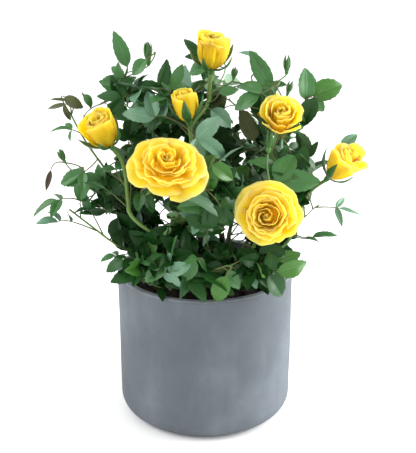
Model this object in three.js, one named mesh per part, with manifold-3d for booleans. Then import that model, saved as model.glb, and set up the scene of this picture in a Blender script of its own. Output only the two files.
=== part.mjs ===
// A rose bush in a plain round pot: pot, soil, canes, flower stalks, flower heads and masses of leaves.
// Millimetres, +Z up, the pot's underside at z = 0 and its axis on Z, the front towards -Y.
import * as THREE from 'three';
import { mergeVertices } from 'three/addons/utils/BufferGeometryUtils.js';
import Module from 'manifold-3d';

const wasm = await Module();
wasm.setup();

// Driving dimensions
const GAP = 0.4; // clear space kept between any two solids that touch
const POT_HEIGHT = 120;
const RIM_RADIUS = 70;
const POT_TAPER = 1.7; // how much narrower the pot is at its foot
const WALL = 6.3;
const FLOOR = 9;
const FOOT_ROUND = 16; // radius of the rounded edge under the pot
const RIM_ROUND = 1.6;
const SOIL_DROP = 14; // from the rim down to the soil
const SOIL_MOUND = 2; // how much the soil rises at the middle
const SOIL_FLAT = 42; // radius of the level middle, where the canes stand
const TURN_SIDES = 28; // sides of the turned pot and soil
const LIMB_SIDES = 6;
const CANE_FOOT_RADIUS = 2.0;
const CANE_TIP_RADIUS = 1.3;
const CANE_BEND = 0.3; // share of the way out to its tip at which a cane bends outwards
const CANE_BEND_RISE = 0.42; // and the share of its height that it has reached there
const CANE_PULL = 0.4; // how far a cane with a point to pass moves that bend towards it
const SHOOT_TAPER = 0.8;
const STALK_FOOT_RADIUS = 1.35;
const STALK_TIP_RADIUS = 1.15;
const STALK_NECK = 0.35; // share of a stalk that already points as its flower does
const STALK_NECK_RISE = 0.05;
const HEAD_SIDES = 8;
const HIP_RADIUS = 2.6; // the green swelling under each flower
const HIP_FOOT = 0.75; // its radius at the stalk, as a share of its largest
const BODY_OF_MASS = 0.8; // a mass's plain ball, as a share of its half sizes, before its bumps
const BUMP_HEIGHTS = [0.16, 0.34]; // least and most, as shares of the ball's half sizes
const BUMP_WIDTHS = [0.06, 0.16];
const MASS_DETAIL = 2; // how finely a mass's ball is divided
const MASS_BUMPS = 9;
const MASS_SEED = 11;
const SPRAY_DETAIL = 1;
const SPRAY_BUMPS = 3;
const SPRAY_SEED = 71;
const SAME_CORNER = 1e-4; // corners nearer than this are one

const soilTop = POT_HEIGHT - SOIL_DROP;

const { lerp, degToRad } = THREE.MathUtils;

// ---------------------------------------------------------------- small tools

const vector = (list) => new THREE.Vector3(...list);

// The point at a bearing round the pot's axis, in degrees, a distance from it and a height.
function placeAt(side, distance, height) {
  return new THREE.Vector3(distance * Math.cos(degToRad(side)), distance * Math.sin(degToRad(side)), height);
}

function randomFrom(seed) {
  let state = seed >>> 0;
  return () => {
    state = (state + 0x6d2b79f5) >>> 0;
    let t = state;
    t = Math.imul(t ^ (t >>> 15), t | 1);
    t ^= t + Math.imul(t ^ (t >>> 7), t | 61);
    return ((t ^ (t >>> 14)) >>> 0) / 4294967296;
  };
}

// A geometry with only its corners left, each shared by the faces around it.
function closed(geometry) {
  geometry.deleteAttribute('normal');
  geometry.deleteAttribute('uv');
  return mergeVertices(geometry, SAME_CORNER);
}

function toSolid(geometry) {
  return new wasm.Manifold(new wasm.Mesh({
    numProp: 3,
    vertProperties: new Float32Array(geometry.attributes.position.array),
    triVerts: new Uint32Array(geometry.index.array),
  }));
}

function toGeometry(solid) {
  const mesh = solid.getMesh();
  const geometry = new THREE.BufferGeometry();
  geometry.setAttribute('position', new THREE.BufferAttribute(mesh.vertProperties, 3));
  geometry.setIndex(new THREE.BufferAttribute(mesh.triVerts, 1));
  return geometry;
}

const rose = new THREE.Group();

function add(name, geometry, material) {
  geometry.computeVertexNormals();
  const mesh = new THREE.Mesh(geometry, material);
  mesh.name = name;
  rose.add(mesh);
  return mesh;
}

const materials = {
  pot: new THREE.MeshStandardMaterial({ color: 0x8b969f, roughness: 0.85, metalness: 0 }),
  soil: new THREE.MeshStandardMaterial({ color: 0x1d1713, roughness: 1, metalness: 0 }),
  cane: new THREE.MeshStandardMaterial({ color: 0x4f7038, roughness: 0.7, metalness: 0 }),
  petal: new THREE.MeshStandardMaterial({ color: 0xf9d431, roughness: 0.6, metalness: 0 }),
  leaf: new THREE.MeshStandardMaterial({ color: 0x33603f, roughness: 0.6, metalness: 0 }),
};

// ---------------------------------------------------------------- pot and soil

function arc(cx, cy, radius, from, to, steps) {
  return Array.from({ length: steps + 1 }, (_, i) => {
    const a = degToRad(from + ((to - from) * i) / steps);
    return new THREE.Vector2(cx + radius * Math.cos(a), cy + radius * Math.sin(a));
  });
}

function turned(profile) {
  const geometry = new THREE.LatheGeometry(profile, TURN_SIDES);
  geometry.rotateX(Math.PI / 2); // the lathe turns about Y
  return closed(geometry);
}

const baseRadius = RIM_RADIUS - POT_TAPER;
const innerRim = RIM_RADIUS - WALL;
const innerBase = baseRadius - WALL;

function pot() {
  return turned([
    new THREE.Vector2(0, 0),
    ...arc(baseRadius - FOOT_ROUND, FOOT_ROUND, FOOT_ROUND, -90, 0, 5),
    ...arc(RIM_RADIUS - RIM_ROUND, POT_HEIGHT - RIM_ROUND, RIM_ROUND, 0, 90, 2),
    ...arc(innerRim + RIM_ROUND, POT_HEIGHT - RIM_ROUND, RIM_ROUND, 90, 180, 2),
    ...arc(innerBase - FLOOR, 2 * FLOOR, FLOOR, 0, -90, 2),
    new THREE.Vector2(0, FLOOR),
  ]);
}

// The inner wall leans, so the soil's side follows it at the same lean.
function soil() {
  const lean = (innerRim - innerBase) / (POT_HEIGHT - RIM_ROUND - 2 * FLOOR);
  const sideAt = (z) => innerBase + lean * (z - 2 * FLOOR) - GAP;
  return turned([
    new THREE.Vector2(0, FLOOR + GAP),
    ...arc(innerBase - FLOOR, 2 * FLOOR, FLOOR - GAP, -90, 0, 2),
    new THREE.Vector2(sideAt(soilTop), soilTop),
    new THREE.Vector2(SOIL_FLAT, soilTop + SOIL_MOUND),
    new THREE.Vector2(0, soilTop + SOIL_MOUND),
  ]);
}

// The room taken up by the pot, its mouth included, which no foliage may enter.
function potRoom() {
  const geometry = new THREE.CylinderGeometry(RIM_RADIUS, RIM_RADIUS, POT_HEIGHT, TURN_SIDES);
  geometry.rotateX(Math.PI / 2);
  geometry.scale(1 + GAP / RIM_RADIUS, 1 + GAP / RIM_RADIUS, 1);
  geometry.translate(0, 0, POT_HEIGHT / 2 + GAP);
  return toSolid(closed(geometry));
}

// ---------------------------------------------------------------- limbs

// One tapering limb: a cylinder bent along a smooth curve, cut square at both ends, or level at its foot.
function limb(points, footRadius, tipRadius, grow = 0, levelFoot = false) {
  const curve = new THREE.CatmullRomCurve3(points, false, 'centripetal');
  const steps = points.length + 1;
  const frames = curve.computeFrenetFrames(steps, false);
  const geometry = new THREE.CylinderGeometry(1, 1, 1, LIMB_SIDES, steps);
  const position = geometry.attributes.position;
  const v = new THREE.Vector3();
  for (let i = 0; i < position.count; i += 1) {
    v.fromBufferAttribute(position, i);
    const t = v.y + 0.5;
    const step = Math.round(t * steps);
    const radius = lerp(footRadius, tipRadius, t) + grow;
    const along = step === 0 ? -grow : step === steps ? grow : 0;
    const at = curve.getPointAt(t)
      .addScaledVector(frames.tangents[step], along)
      .addScaledVector(frames.normals[step], radius * v.x)
      .addScaledVector(frames.binormals[step], -radius * v.z);
    if (levelFoot && step === 0) at.z = points[0].z - grow;
    position.setXYZ(i, at.x, at.y, at.z);
  }
  return closed(geometry);
}

// ---------------------------------------------------------------- flower heads

// A head stands on its base point and faces along `faces`. `open` runs from 0, a bud, to 1, a flat open
// flower. `root` is where its stalk starts, inside a mass of leaves.
const heads = {
  open_left: {
    base: [-28, -63.5, 213], faces: [0.05, -0.5, 0.865], radius: 28.5, depth: 25, open: 1,
    root: [-16, -46, 196],
  },
  open_right: {
    base: [47, -63, 184], faces: [-0.06, -0.9, 0.43], radius: 24, depth: 26, open: 0.8,
    root: [40, -48, 164],
  },
  upper_right: {
    base: [55, -12, 236], faces: [0.08, -0.62, 0.78], radius: 17.5, depth: 27, open: 0.5,
    root: [50, -8, 218],
  },
  top: {
    base: [4.5, 2, 277], faces: [0.06, -0.22, 0.97], radius: 13, depth: 32, open: 0.25,
    root: [3, 4, 256],
  },
  far_right: {
    base: [92, -16, 198], faces: [0.6, -0.26, 0.75], radius: 16, depth: 34, open: 0.4,
    root: [64, -24, 152],
  },
  far_left: {
    base: [-69, -26, 226], faces: [-0.4, -0.28, 0.87], radius: 13.5, depth: 30, open: 0.25,
    root: [-57, -36, 180],
  },
  small: {
    base: [-12, -20, 243], faces: [-0.13, -0.18, 0.97], radius: 9.5, depth: 28, open: 0.1,
    root: [-9, -22, 220],
  },
  back_open: {
    base: [-40, 84, 206], faces: [-0.2, 0.66, 0.72], radius: 25, depth: 25, open: 0.9,
    root: [-38, 74, 188],
  },
  back_cup: {
    base: [48, 78, 216], faces: [0.28, 0.5, 0.82], radius: 15, depth: 29, open: 0.4,
    root: [44, 70, 196],
  },
  back_low: {
    base: [8, 96, 176], faces: [0.1, 0.8, 0.58], radius: 19, depth: 26, open: 0.6,
    root: [6, 76, 158],
  },
};

// The outline of a head above its hip: heights as shares of its depth and distances from its axis as
// shares of its radius, each for a bud and for an open flower, which is widest lower down.
const outline = [
  { height: [0.34, 0.34], distance: [0.8, 0.5] },
  { height: [0.62, 0.5], distance: [1, 1] },
  { height: [0.92, 0.92], distance: [0.55, 0.8] },
];
const HIP_HEIGHT = 0.14; // as a share of the depth

// A turned shape: hip, cup and mouth.
function head({ base, faces, radius, depth, open }, grow = 0) {
  const cup = outline.map(({ height, distance }) => [
    (radius + grow) * lerp(...distance, open),
    depth * lerp(...height, open),
  ]);
  const profile = [
    [0, -grow],
    [HIP_RADIUS * HIP_FOOT + grow, -grow],
    [HIP_RADIUS + grow, HIP_HEIGHT * depth],
    ...cup,
    [0, depth + grow],
  ].map(([r, z]) => new THREE.Vector2(r, z));
  const geometry = new THREE.LatheGeometry(profile, HEAD_SIDES);
  geometry.rotateX(Math.PI / 2);
  const up = new THREE.Vector3(0, 0, 1);
  geometry.applyQuaternion(new THREE.Quaternion().setFromUnitVectors(up, vector(faces).normalize()));
  geometry.translate(...base);
  return closed(geometry);
}

// The stalk leaves its root upwards and comes to the head along the head's own direction.
function stalk({ base, faces, root }, grow = 0) {
  const n = vector(faces).normalize();
  const foot = vector(root);
  const top = vector(base).addScaledVector(n, -GAP);
  const length = foot.distanceTo(top);
  const neck = top.clone().addScaledVector(n, -STALK_NECK * length);
  neck.z += STALK_NECK_RISE * length;
  return limb([foot, neck, top], STALK_FOOT_RADIUS, STALK_TIP_RADIUS, grow);
}

// ---------------------------------------------------------------- canes

// side is a bearing round the pot's axis in degrees: 0 to the right, 90 to the back, 270 to the front.
// out is how far from the axis the cane comes out of the soil, tip where it ends, inside a mass of leaves.
const canes = {
  front_left: { side: 232, out: 24, tip: [-33, -46, 160] },
  front: { side: 268, out: 14, tip: [-3, -30, 190] },
  front_right: { side: 300, out: 26, tip: [37, -48, 156] },
  left: { side: 176, out: 25, tip: [-56, -2, 168] },
  right: { side: 8, out: 22, tip: [52, 4, 172] },
  back_left: { side: 128, out: 20, tip: [-38, 44, 196] },
  back_right: { side: 50, out: 22, tip: [36, 46, 196] },
  left_spray: { side: 205, out: 30, via: [-64, -34, 150], tip: [-103, -26, 178], thin: 0.55 },
};

function cane({ side, out, via, tip, thin = 1 }, grow = 0) {
  const footHeight = soilTop + SOIL_MOUND + GAP;
  const foot = placeAt(side, out, footHeight);
  const end = vector(tip);
  const bend = foot.clone().lerp(end, CANE_BEND);
  bend.z = lerp(foot.z, end.z, CANE_BEND_RISE);
  const points = via ? [foot, bend.lerp(vector(via), CANE_PULL), vector(via), end] : [foot, bend, end];
  return limb(points, CANE_FOOT_RADIUS * thin, CANE_TIP_RADIUS * thin, grow, true);
}

// ---------------------------------------------------------------- long shoot

// A thin leafy shoot that leaves the crown on the left and carries the two sprays standing out there.
const shoots = {
  left_high: { root: [-76, -8, 204], via: [-91, -6, 226], tip: [-101, -5, 246], thick: 0.9 },
};

function shoot({ root, via, tip, thick }, grow = 0) {
  return limb([root, via, tip].map(vector), thick, SHOOT_TAPER * thick, grow);
}

// ---------------------------------------------------------------- masses of leaves

// A mass stands at its bearing (side), distance from the axis (reach) and height. Its half sizes run
// outwards, across and up; `lean` tips its outward end up, in degrees. A spray is a small mass that
// stands out from the crown, and is cut where it meets a larger one.
const masses = {
  top_left: { side: 178, reach: 36, height: 258, half: [33, 31, 25] },
  top_middle: { side: 62, reach: 18, height: 256, half: [27, 30, 22] },
  top_right: { side: 12, reach: 52, height: 252, half: [31, 30, 25] },
  top_back: { side: 92, reach: 56, height: 240, half: [30, 44, 28] },
  left: { side: 184, reach: 62, height: 206, half: [34, 36, 29] },
  middle: { side: 264, reach: 30, height: 202, half: [34, 42, 36] },
  right: { side: 356, reach: 66, height: 208, half: [34, 37, 32] },
  back_left: { side: 133, reach: 70, height: 207, half: [34, 37, 33] },
  back_right: { side: 47, reach: 70, height: 205, half: [34, 37, 33] },
  low_front_left: { side: 236, reach: 62, height: 153, half: [28, 33, 24] },
  low_front_right: { side: 306, reach: 66, height: 147, half: [26, 36, 25] },
  low_left: { side: 183, reach: 62, height: 162, half: [26, 32, 21] },
  low_right: { side: 8, reach: 53, height: 160, half: [25, 32, 24] },
  low_back: { side: 90, reach: 62, height: 154, half: [29, 48, 24] },
  low_middle: { side: 272, reach: 43, height: 148, half: [21, 27, 24] },
};

const sprays = {
  left_low: { side: 192, reach: 115, height: 178, half: [28, 14, 10], lean: -12 },
  left_middle: { side: 193, reach: 94, height: 197, half: [18, 16, 17] },
  left_high: { side: 183, reach: 100, height: 250, half: [19, 15, 11] },
  left_outer: { side: 186, reach: 101, height: 232, half: [20, 11, 9], lean: 8 },
  upper_left: { side: 175, reach: 70, height: 273, half: [17, 16, 15] },
  top_left: { side: 173, reach: 62, height: 289, half: [9, 10, 20] },
  top_right: { side: 13, reach: 37, height: 284, half: [12, 10, 18] },
  right_high: { side: 5, reach: 88, height: 260, half: [21, 16, 15] },
  right_low: { side: 347, reach: 99, height: 170, half: [33, 13, 10] },
  front_right: { side: 316, reach: 86, height: 137, half: [20, 20, 14] },
  front: { side: 271, reach: 70, height: 134, half: [17, 24, 14] },
  left_rim: { side: 218, reach: 77, height: 136, half: [18, 18, 12] },
  back_high: { side: 78, reach: 90, height: 243, half: [20, 17, 14] },
  back_low: { side: 62, reach: 104, height: 174, half: [24, 15, 10] },
};

function bumpsFrom(seed, count) {
  const random = randomFrom(seed);
  return Array.from({ length: count }, () => {
    const z = 2 * random() - 1;
    const a = 2 * Math.PI * random();
    const r = Math.sqrt(1 - z * z);
    return {
      towards: new THREE.Vector3(r * Math.cos(a), r * Math.sin(a), z),
      height: lerp(...BUMP_HEIGHTS, random()),
      width: lerp(...BUMP_WIDTHS, random()),
    };
  });
}

// A ball stretched to its half sizes, with rounded bumps where its sprays of leaves stand out.
function mass({ side, reach, height, half, lean = 0 }, { seed, detail, bumps, grow = 0 }) {
  const lumps = bumpsFrom(seed, bumps);
  const geometry = closed(new THREE.IcosahedronGeometry(1, detail));
  const position = geometry.attributes.position;
  const v = new THREE.Vector3();
  for (let i = 0; i < position.count; i += 1) {
    v.fromBufferAttribute(position, i).normalize();
    const swell = lumps.reduce(
      (sum, lump) => sum + lump.height * Math.exp((v.dot(lump.towards) - 1) / lump.width),
      BODY_OF_MASS,
    );
    v.multiply(vector(half)).multiplyScalar(swell);
    v.setLength(v.length() + grow);
    position.setXYZ(i, v.x, v.y, v.z);
  }
  geometry.rotateY(-degToRad(lean));
  geometry.rotateZ(degToRad(side));
  geometry.translate(...placeAt(side, reach, height));
  return geometry;
}

// ---------------------------------------------------------------- putting it together

add('pot', pot(), materials.pot);
add('soil', soil(), materials.soil);

let taken = potRoom(); // the space that later pieces keep out of

function addRow(table, prefix, shape, material) {
  Object.entries(table).forEach(([name, size]) => {
    add(`${prefix}_${name}`, shape(size), material);
    taken = taken.add(toSolid(shape(size, GAP)));
  });
}
addRow(canes, 'cane', cane, materials.cane);
addRow(shoots, 'shoot', shoot, materials.cane);
addRow(heads, 'stalk', stalk, materials.cane);
addRow(heads, 'flower', head, materials.petal);

// Each mass gives way to what is there before it, and keeps its largest piece.
function addMasses(table, prefix, detail, bumps, firstSeed) {
  Object.entries(table).forEach(([name, size], i) => {
    const form = { seed: firstSeed + i, detail, bumps };
    const pieces = toSolid(mass(size, form)).subtract(taken).decompose();
    const largest = pieces.reduce((a, b) => (b.volume() > a.volume() ? b : a));
    add(`${prefix}_${name}`, toGeometry(largest), materials.leaf);
    taken = taken.add(toSolid(mass(size, { ...form, grow: GAP })));
  });
}
addMasses(masses, 'leaves', MASS_DETAIL, MASS_BUMPS, MASS_SEED);
addMasses(sprays, 'spray', SPRAY_DETAIL, SPRAY_BUMPS, SPRAY_SEED);

export default rose;
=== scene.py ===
"""A small patio rose with yellow flowers in a round grey pot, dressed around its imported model.

The pot, soil, canes and flower heads take their places from the model's nodes. Twigs and leaves grow on
from the canes by a seeded rule, inside the space of each mass of leaves.
"""
import math

import bpy
import numpy as np
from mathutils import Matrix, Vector
from mathutils.bvhtree import BVHTree


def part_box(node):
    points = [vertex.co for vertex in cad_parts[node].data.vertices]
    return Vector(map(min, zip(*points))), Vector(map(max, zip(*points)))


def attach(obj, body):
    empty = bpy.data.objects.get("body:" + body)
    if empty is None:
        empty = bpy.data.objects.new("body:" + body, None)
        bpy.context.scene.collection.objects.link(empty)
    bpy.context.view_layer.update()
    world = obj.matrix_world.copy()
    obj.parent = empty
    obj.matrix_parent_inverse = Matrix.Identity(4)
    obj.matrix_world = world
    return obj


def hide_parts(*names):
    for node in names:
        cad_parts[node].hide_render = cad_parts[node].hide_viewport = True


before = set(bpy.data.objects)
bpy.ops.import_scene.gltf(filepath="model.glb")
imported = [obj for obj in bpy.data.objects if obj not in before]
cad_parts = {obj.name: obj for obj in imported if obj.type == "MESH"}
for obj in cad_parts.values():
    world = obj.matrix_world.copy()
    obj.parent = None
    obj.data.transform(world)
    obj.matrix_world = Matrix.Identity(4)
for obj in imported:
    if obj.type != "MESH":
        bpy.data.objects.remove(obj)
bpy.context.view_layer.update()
mm = 0.001


# ---------------------------------------------------------------- floor, light and camera
# A pale sheet under the pot, even daylight from all round, a small window high on the left and a large,
# brighter one low on the right, and a long lens that looks down a little into the crown.
SHEET_HALF = 6.0
SHEET_WHITE = (0.94, 0.94, 0.94)
DAYLIGHT = 1.1
LIGHTS = {
    # place, width and power
    "left_window": ((-1.2, -0.35, 0.9), 0.9, 14.0),
    "right_window": ((1.3, 0.20, 0.45), 1.2, 45.0),
}
LIGHTS_AIM = (0, 0, 0.18)
CAMERA_PLACE = (0.0, -0.904, 0.483)
CAMERA_DOWN = 0.3485  # radians below level
CAMERA_TURN = -0.0026
LENS = 97.3


def socket_values(node, **values):
    """Sets a node's unlinked inputs by name; an underscore in the name stands for a space."""
    for name, value in values.items():
        node.inputs[name.replace("_", " ")].default_value = value
    return node


def plain_material(name, colour, roughness):
    """A material of one even colour, for what isn't part of the plant."""
    material = bpy.data.materials.new(name)
    material.use_nodes = True
    shader = material.node_tree.nodes["Principled BSDF"]
    socket_values(shader, Base_Color=(*colour, 1), Roughness=roughness)
    return material


def studio():
    """Floor, world light, two area lights and the camera."""
    half = SHEET_HALF
    mesh = bpy.data.meshes.new("floor")
    mesh.from_pydata([(-half, -half, 0), (half, -half, 0), (half, half, 0), (-half, half, 0)], [],
                     [(0, 1, 2, 3)])
    mesh.materials.append(plain_material("floor_sheet", SHEET_WHITE, 0.9))
    floor = bpy.data.objects.new("floor", mesh)
    bpy.context.scene.collection.objects.link(floor)

    world = bpy.data.worlds.new("daylight")
    world.use_nodes = True
    socket_values(world.node_tree.nodes["Background"], Color=(1, 1, 1, 1), Strength=DAYLIGHT)
    bpy.context.scene.world = world

    for name, (place, width, power) in LIGHTS.items():
        lamp = bpy.data.lights.new(name, "AREA")
        lamp.size = width
        lamp.energy = power
        light = bpy.data.objects.new(name, lamp)
        light.location = place
        aim = Vector(LIGHTS_AIM) - Vector(place)
        light.rotation_euler = aim.to_track_quat("-Z", "Y").to_euler()
        bpy.context.scene.collection.objects.link(light)

    camera = bpy.data.objects.new("camera", bpy.data.cameras.new("camera"))
    camera.data.lens = LENS
    camera.location = CAMERA_PLACE
    camera.rotation_euler = (math.pi / 2 - CAMERA_DOWN, 0, CAMERA_TURN)
    bpy.context.scene.collection.objects.link(camera)
    bpy.context.scene.camera = camera
    bpy.context.scene.view_settings.view_transform = "Standard"


studio()


# ---------------------------------------------------------------- pot
# The pot is cast in one piece from fine grey cement: a straight wall a little narrower at the foot, an
# Its skin is even, with faint clouds and pinholes, and a paler band along the top of the rim is a painted
# highlight.
POT_SIDES = 128
POT_STEP = 2.5 * mm  # between the rings of its wall
UNDERSIDE_STEP = 8 * mm
POT_TAPER = 1.7 * mm  # how much narrower it is at the foot
POT_FOOT_ROUND = 16 * mm
POT_WALL = 6.3 * mm
POT_RIM_ROUND = 1.8 * mm
POT_FLOOR = 9 * mm
POT_RIPPLE = 0.25 * mm  # how far in and out the cast wall waves
POT_SHRINK = 0.4 * mm  # how far in the wall is moved to leave that room
LAST_RING = 0.4 * mm  # radius of the innermost rings, which flat caps close
CLOUD_SCALE, STREAK_SCALE, GRAIN_SCALE, PORE_SCALE = 14.0, 55.0, 900.0, 260.0
STREAK_STRETCH = (1, 1, 0.25)
CEMENT = (0.092, 0.108, 0.124)
CEMENT_DARK = (0.074, 0.088, 0.102)
CEMENT_PALE = (0.155, 0.179, 0.201)
CEMENT_RIM_HIGHLIGHT = (0.205, 0.230, 0.252)
RIM_HIGHLIGHT_DEPTH = 2.4 * mm  # how far down from the top the rim's painted highlight reaches


def grid_faces(rows, columns, around=False):
    """Four-sided faces of a grid numbered row by row; `around` joins the last column to the first."""
    row = np.arange(rows - 1)[:, None] * columns
    column = np.arange(columns if around else columns - 1)[None, :]
    beside = (column + 1) % columns
    return np.stack([row + column, row + beside, row + columns + beside, row + columns + column],
                    axis=-1).reshape(-1, 4)


def ring_cap(sides):
    """Four-sided faces that close a ring with an even number of corners, counted from its first corner."""
    first = np.arange(1, sides - 2, 2)
    return np.stack([np.zeros_like(first), first, first + 1, first + 2], axis=-1)


def capped_tube(rings, sides):
    """The faces of a tube of rings of corners, each joined to the next, with a cap on both end rings."""
    return np.vstack([grid_faces(rings, sides, around=True), ring_cap(sides)[:, ::-1],
                      ring_cap(sides) + (rings - 1) * sides])


def make_piece(name, points, faces, materials, face_slots=None, maps=None):
    """A smooth mesh from arrays: a row of `points` for each corner, a row of `faces` for each face, the
    number of the material of each face, and for each map an (across, up) pair for each corner."""
    mesh = bpy.data.meshes.new(name)
    mesh.from_pydata(points.reshape(-1, 3), [], faces)
    for material in materials:
        mesh.materials.append(material)
    if face_slots is not None:
        mesh.polygons.foreach_set("material_index", face_slots.astype(np.int32).ravel())
    mesh.polygons.foreach_set("use_smooth", np.ones(len(mesh.polygons), bool))
    for map_name, pairs in (maps or {}).items():
        layer = mesh.uv_layers.new(name=map_name)
        layer.uv.foreach_set("vector", pairs.reshape(-1, 2)[faces.ravel()].astype(np.float32).ravel())
    mesh.update()
    piece = bpy.data.objects.new(name, mesh)
    bpy.context.scene.collection.objects.link(piece)
    return piece


def place_piece(piece, slot, *nodes):
    """The piece moves with the plant and stands for those nodes, which it hides; its slot is not used."""
    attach(piece, "root")
    if nodes:
        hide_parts(*nodes)


def arc(middle_r, middle_z, radius, start, end, steps):
    """Points on part of a circle in the (distance from axis, height) plane, angles in degrees."""
    angle = np.radians(np.linspace(start, end, steps))
    return np.stack([middle_r + radius * np.cos(angle), middle_z + radius * np.sin(angle)], axis=-1)


def line_points(start, end, step):
    """Evenly spaced points between two (distance, height) pairs, both ends left out."""
    start, end = np.array(start), np.array(end)
    count = max(2, int(np.linalg.norm(end - start) / step))
    share = np.linspace(0, 1, count + 1)[1:-1, None]
    return start + (end - start) * share


def turned(profile, sides):
    """Corners of a surface of revolution: each (distance, height) pair carried round the upright axis."""
    angle = np.linspace(0, 2 * np.pi, sides, endpoint=False)[None, :]
    distance, height = profile[:, 0:1], profile[:, 1:2]
    return np.stack([distance * np.cos(angle), distance * np.sin(angle),
                     height + 0 * angle], axis=-1)


class Nodes:
    """A short way to add linked shader nodes to a new material."""

    def __init__(self, name):
        """A material of that name, with its plain surface shader."""
        self.material = bpy.data.materials.new(name)
        self.material.use_nodes = True
        self.tree = self.material.node_tree
        self.shader = self.tree.nodes["Principled BSDF"]

    def add(self, kind, **settings):
        """A new shader node of that kind, with its settings."""
        node = self.tree.nodes.new(kind)
        for name, value in settings.items():
            setattr(node, name, value)
        return node

    def link(self, source, target):
        """Feeds an output into an input."""
        self.tree.links.new(source, target)

    def coordinate(self, map_name=None):
        """Places on the piece: its own map if one is named, and otherwise its Object coordinates."""
        if map_name:
            return self.add("ShaderNodeUVMap", uv_map=map_name).outputs["UV"]
        return self.add("ShaderNodeTexCoord").outputs["Object"]

    def stretched(self, places, scale):
        """Places scaled along each axis, so that a pattern on them is drawn out."""
        node = socket_values(self.add("ShaderNodeMapping"), Scale=scale)
        self.link(places, node.inputs["Vector"])
        return node.outputs["Vector"]

    def parts(self, places):
        """The X, Y and Z of places, each by its name."""
        node = self.add("ShaderNodeSeparateXYZ")
        self.link(places, node.inputs[0])
        return node.outputs

    def share_between(self, value, low, high):
        """How far a value is from a low to a high one: (value - low) / (high - low)."""
        return self.math("DIVIDE", self.math("SUBTRACT", value, low), high - low)

    def noise(self, places, scale, detail=3.0, roughness=0.55):
        """Soft noise over places, from 0 to 1."""
        node = socket_values(self.add("ShaderNodeTexNoise"), Scale=scale, Detail=detail,
                             Roughness=roughness)
        self.link(places, node.inputs["Vector"])
        return node.outputs["Fac"]

    def ramp(self, factor, *stops):
        """Colours or greys at positions along a factor."""
        node = self.add("ShaderNodeValToRGB")
        elements = node.color_ramp.elements
        while len(elements) < len(stops):
            elements.new(0.5)
        for element, (position, colour) in zip(elements, stops):
            element.position = position
            element.color = (*colour, 1) if np.ndim(colour) else (colour, colour, colour, 1)
        self.link(factor, node.inputs["Fac"])
        return node.outputs["Color"]

    def math(self, operation, *inputs):
        """One sum on numbers or outputs."""
        node = self.add("ShaderNodeMath", operation=operation)
        for socket, value in zip(node.inputs, inputs):
            if isinstance(value, (int, float)):
                socket.default_value = value
            else:
                self.link(value, socket)
        return node.outputs["Value"]

    def mix(self, factor, first, second):
        """The first colour changed into the second by a factor."""
        node = self.add("ShaderNodeMix", data_type="RGBA")
        for socket, value in ((node.inputs[0], factor), (node.inputs[6], first), (node.inputs[7], second)):
            if isinstance(value, (tuple, float)):
                socket.default_value = (*value, 1) if isinstance(value, tuple) else value
            else:
                self.link(value, socket)
        return node.outputs[2]

    def bump(self, height, distance, strength=1.0):
        """Tilts the surface as a height field of that depth would."""
        node = socket_values(self.add("ShaderNodeBump"), Strength=strength, Distance=distance)
        self.link(height, node.inputs["Height"])
        self.link(node.outputs["Normal"], self.shader.inputs["Normal"])


def cement(top):
    """Cloudy grey, darker in fine pores and paler in streaks, with a paler band along the top of the rim
    that is a painted highlight, and a dry, barely uneven skin."""
    m = Nodes("cement")
    places = m.coordinate()
    clouds = m.noise(places, CLOUD_SCALE, 4.0)
    streaks = m.noise(m.stretched(places, STREAK_STRETCH), STREAK_SCALE, 3.0)
    grain = m.noise(places, GRAIN_SCALE, 2.0)
    base = m.ramp(clouds, (0.3, CEMENT_DARK), (0.52, CEMENT), (0.8, CEMENT_PALE))
    streaked = m.mix(m.ramp(streaks, (0.5, 0.0), (0.8, 0.35)), base, CEMENT_PALE)
    pores = socket_values(m.add("ShaderNodeTexVoronoi"), Scale=PORE_SCALE)
    m.link(places, pores.inputs["Vector"])
    pinhole = m.ramp(pores.outputs["Distance"], (0.06, 1.0), (0.14, 0.0))
    # A paler band at the top of the rim, broken up by the streaks, is a painted highlight of the light from
    # above
    rise = m.share_between(m.parts(places)["Z"], top - RIM_HIGHLIGHT_DEPTH, top)
    rim_highlight = m.ramp(m.math("ADD", rise, m.math("MULTIPLY", streaks, 0.5)), (0.8, 0.0), (1.15, 0.85))
    highlighted = m.mix(rim_highlight, streaked, CEMENT_RIM_HIGHLIGHT)
    speckled = m.mix(m.math("MULTIPLY", pinhole, 0.35), highlighted, CEMENT_DARK)
    m.link(speckled, m.shader.inputs["Base Color"])
    m.link(m.ramp(grain, (0.3, 0.62), (0.7, 0.8)), m.shader.inputs["Roughness"])
    relief = m.math("SUBTRACT", m.math("MULTIPLY", grain, 0.4), m.math("MULTIPLY", pinhole, 0.7))
    m.bump(relief, 0.25 * mm, 0.5)
    socket_values(m.shader, Specular_IOR_Level=0.35)
    return m.material


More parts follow.
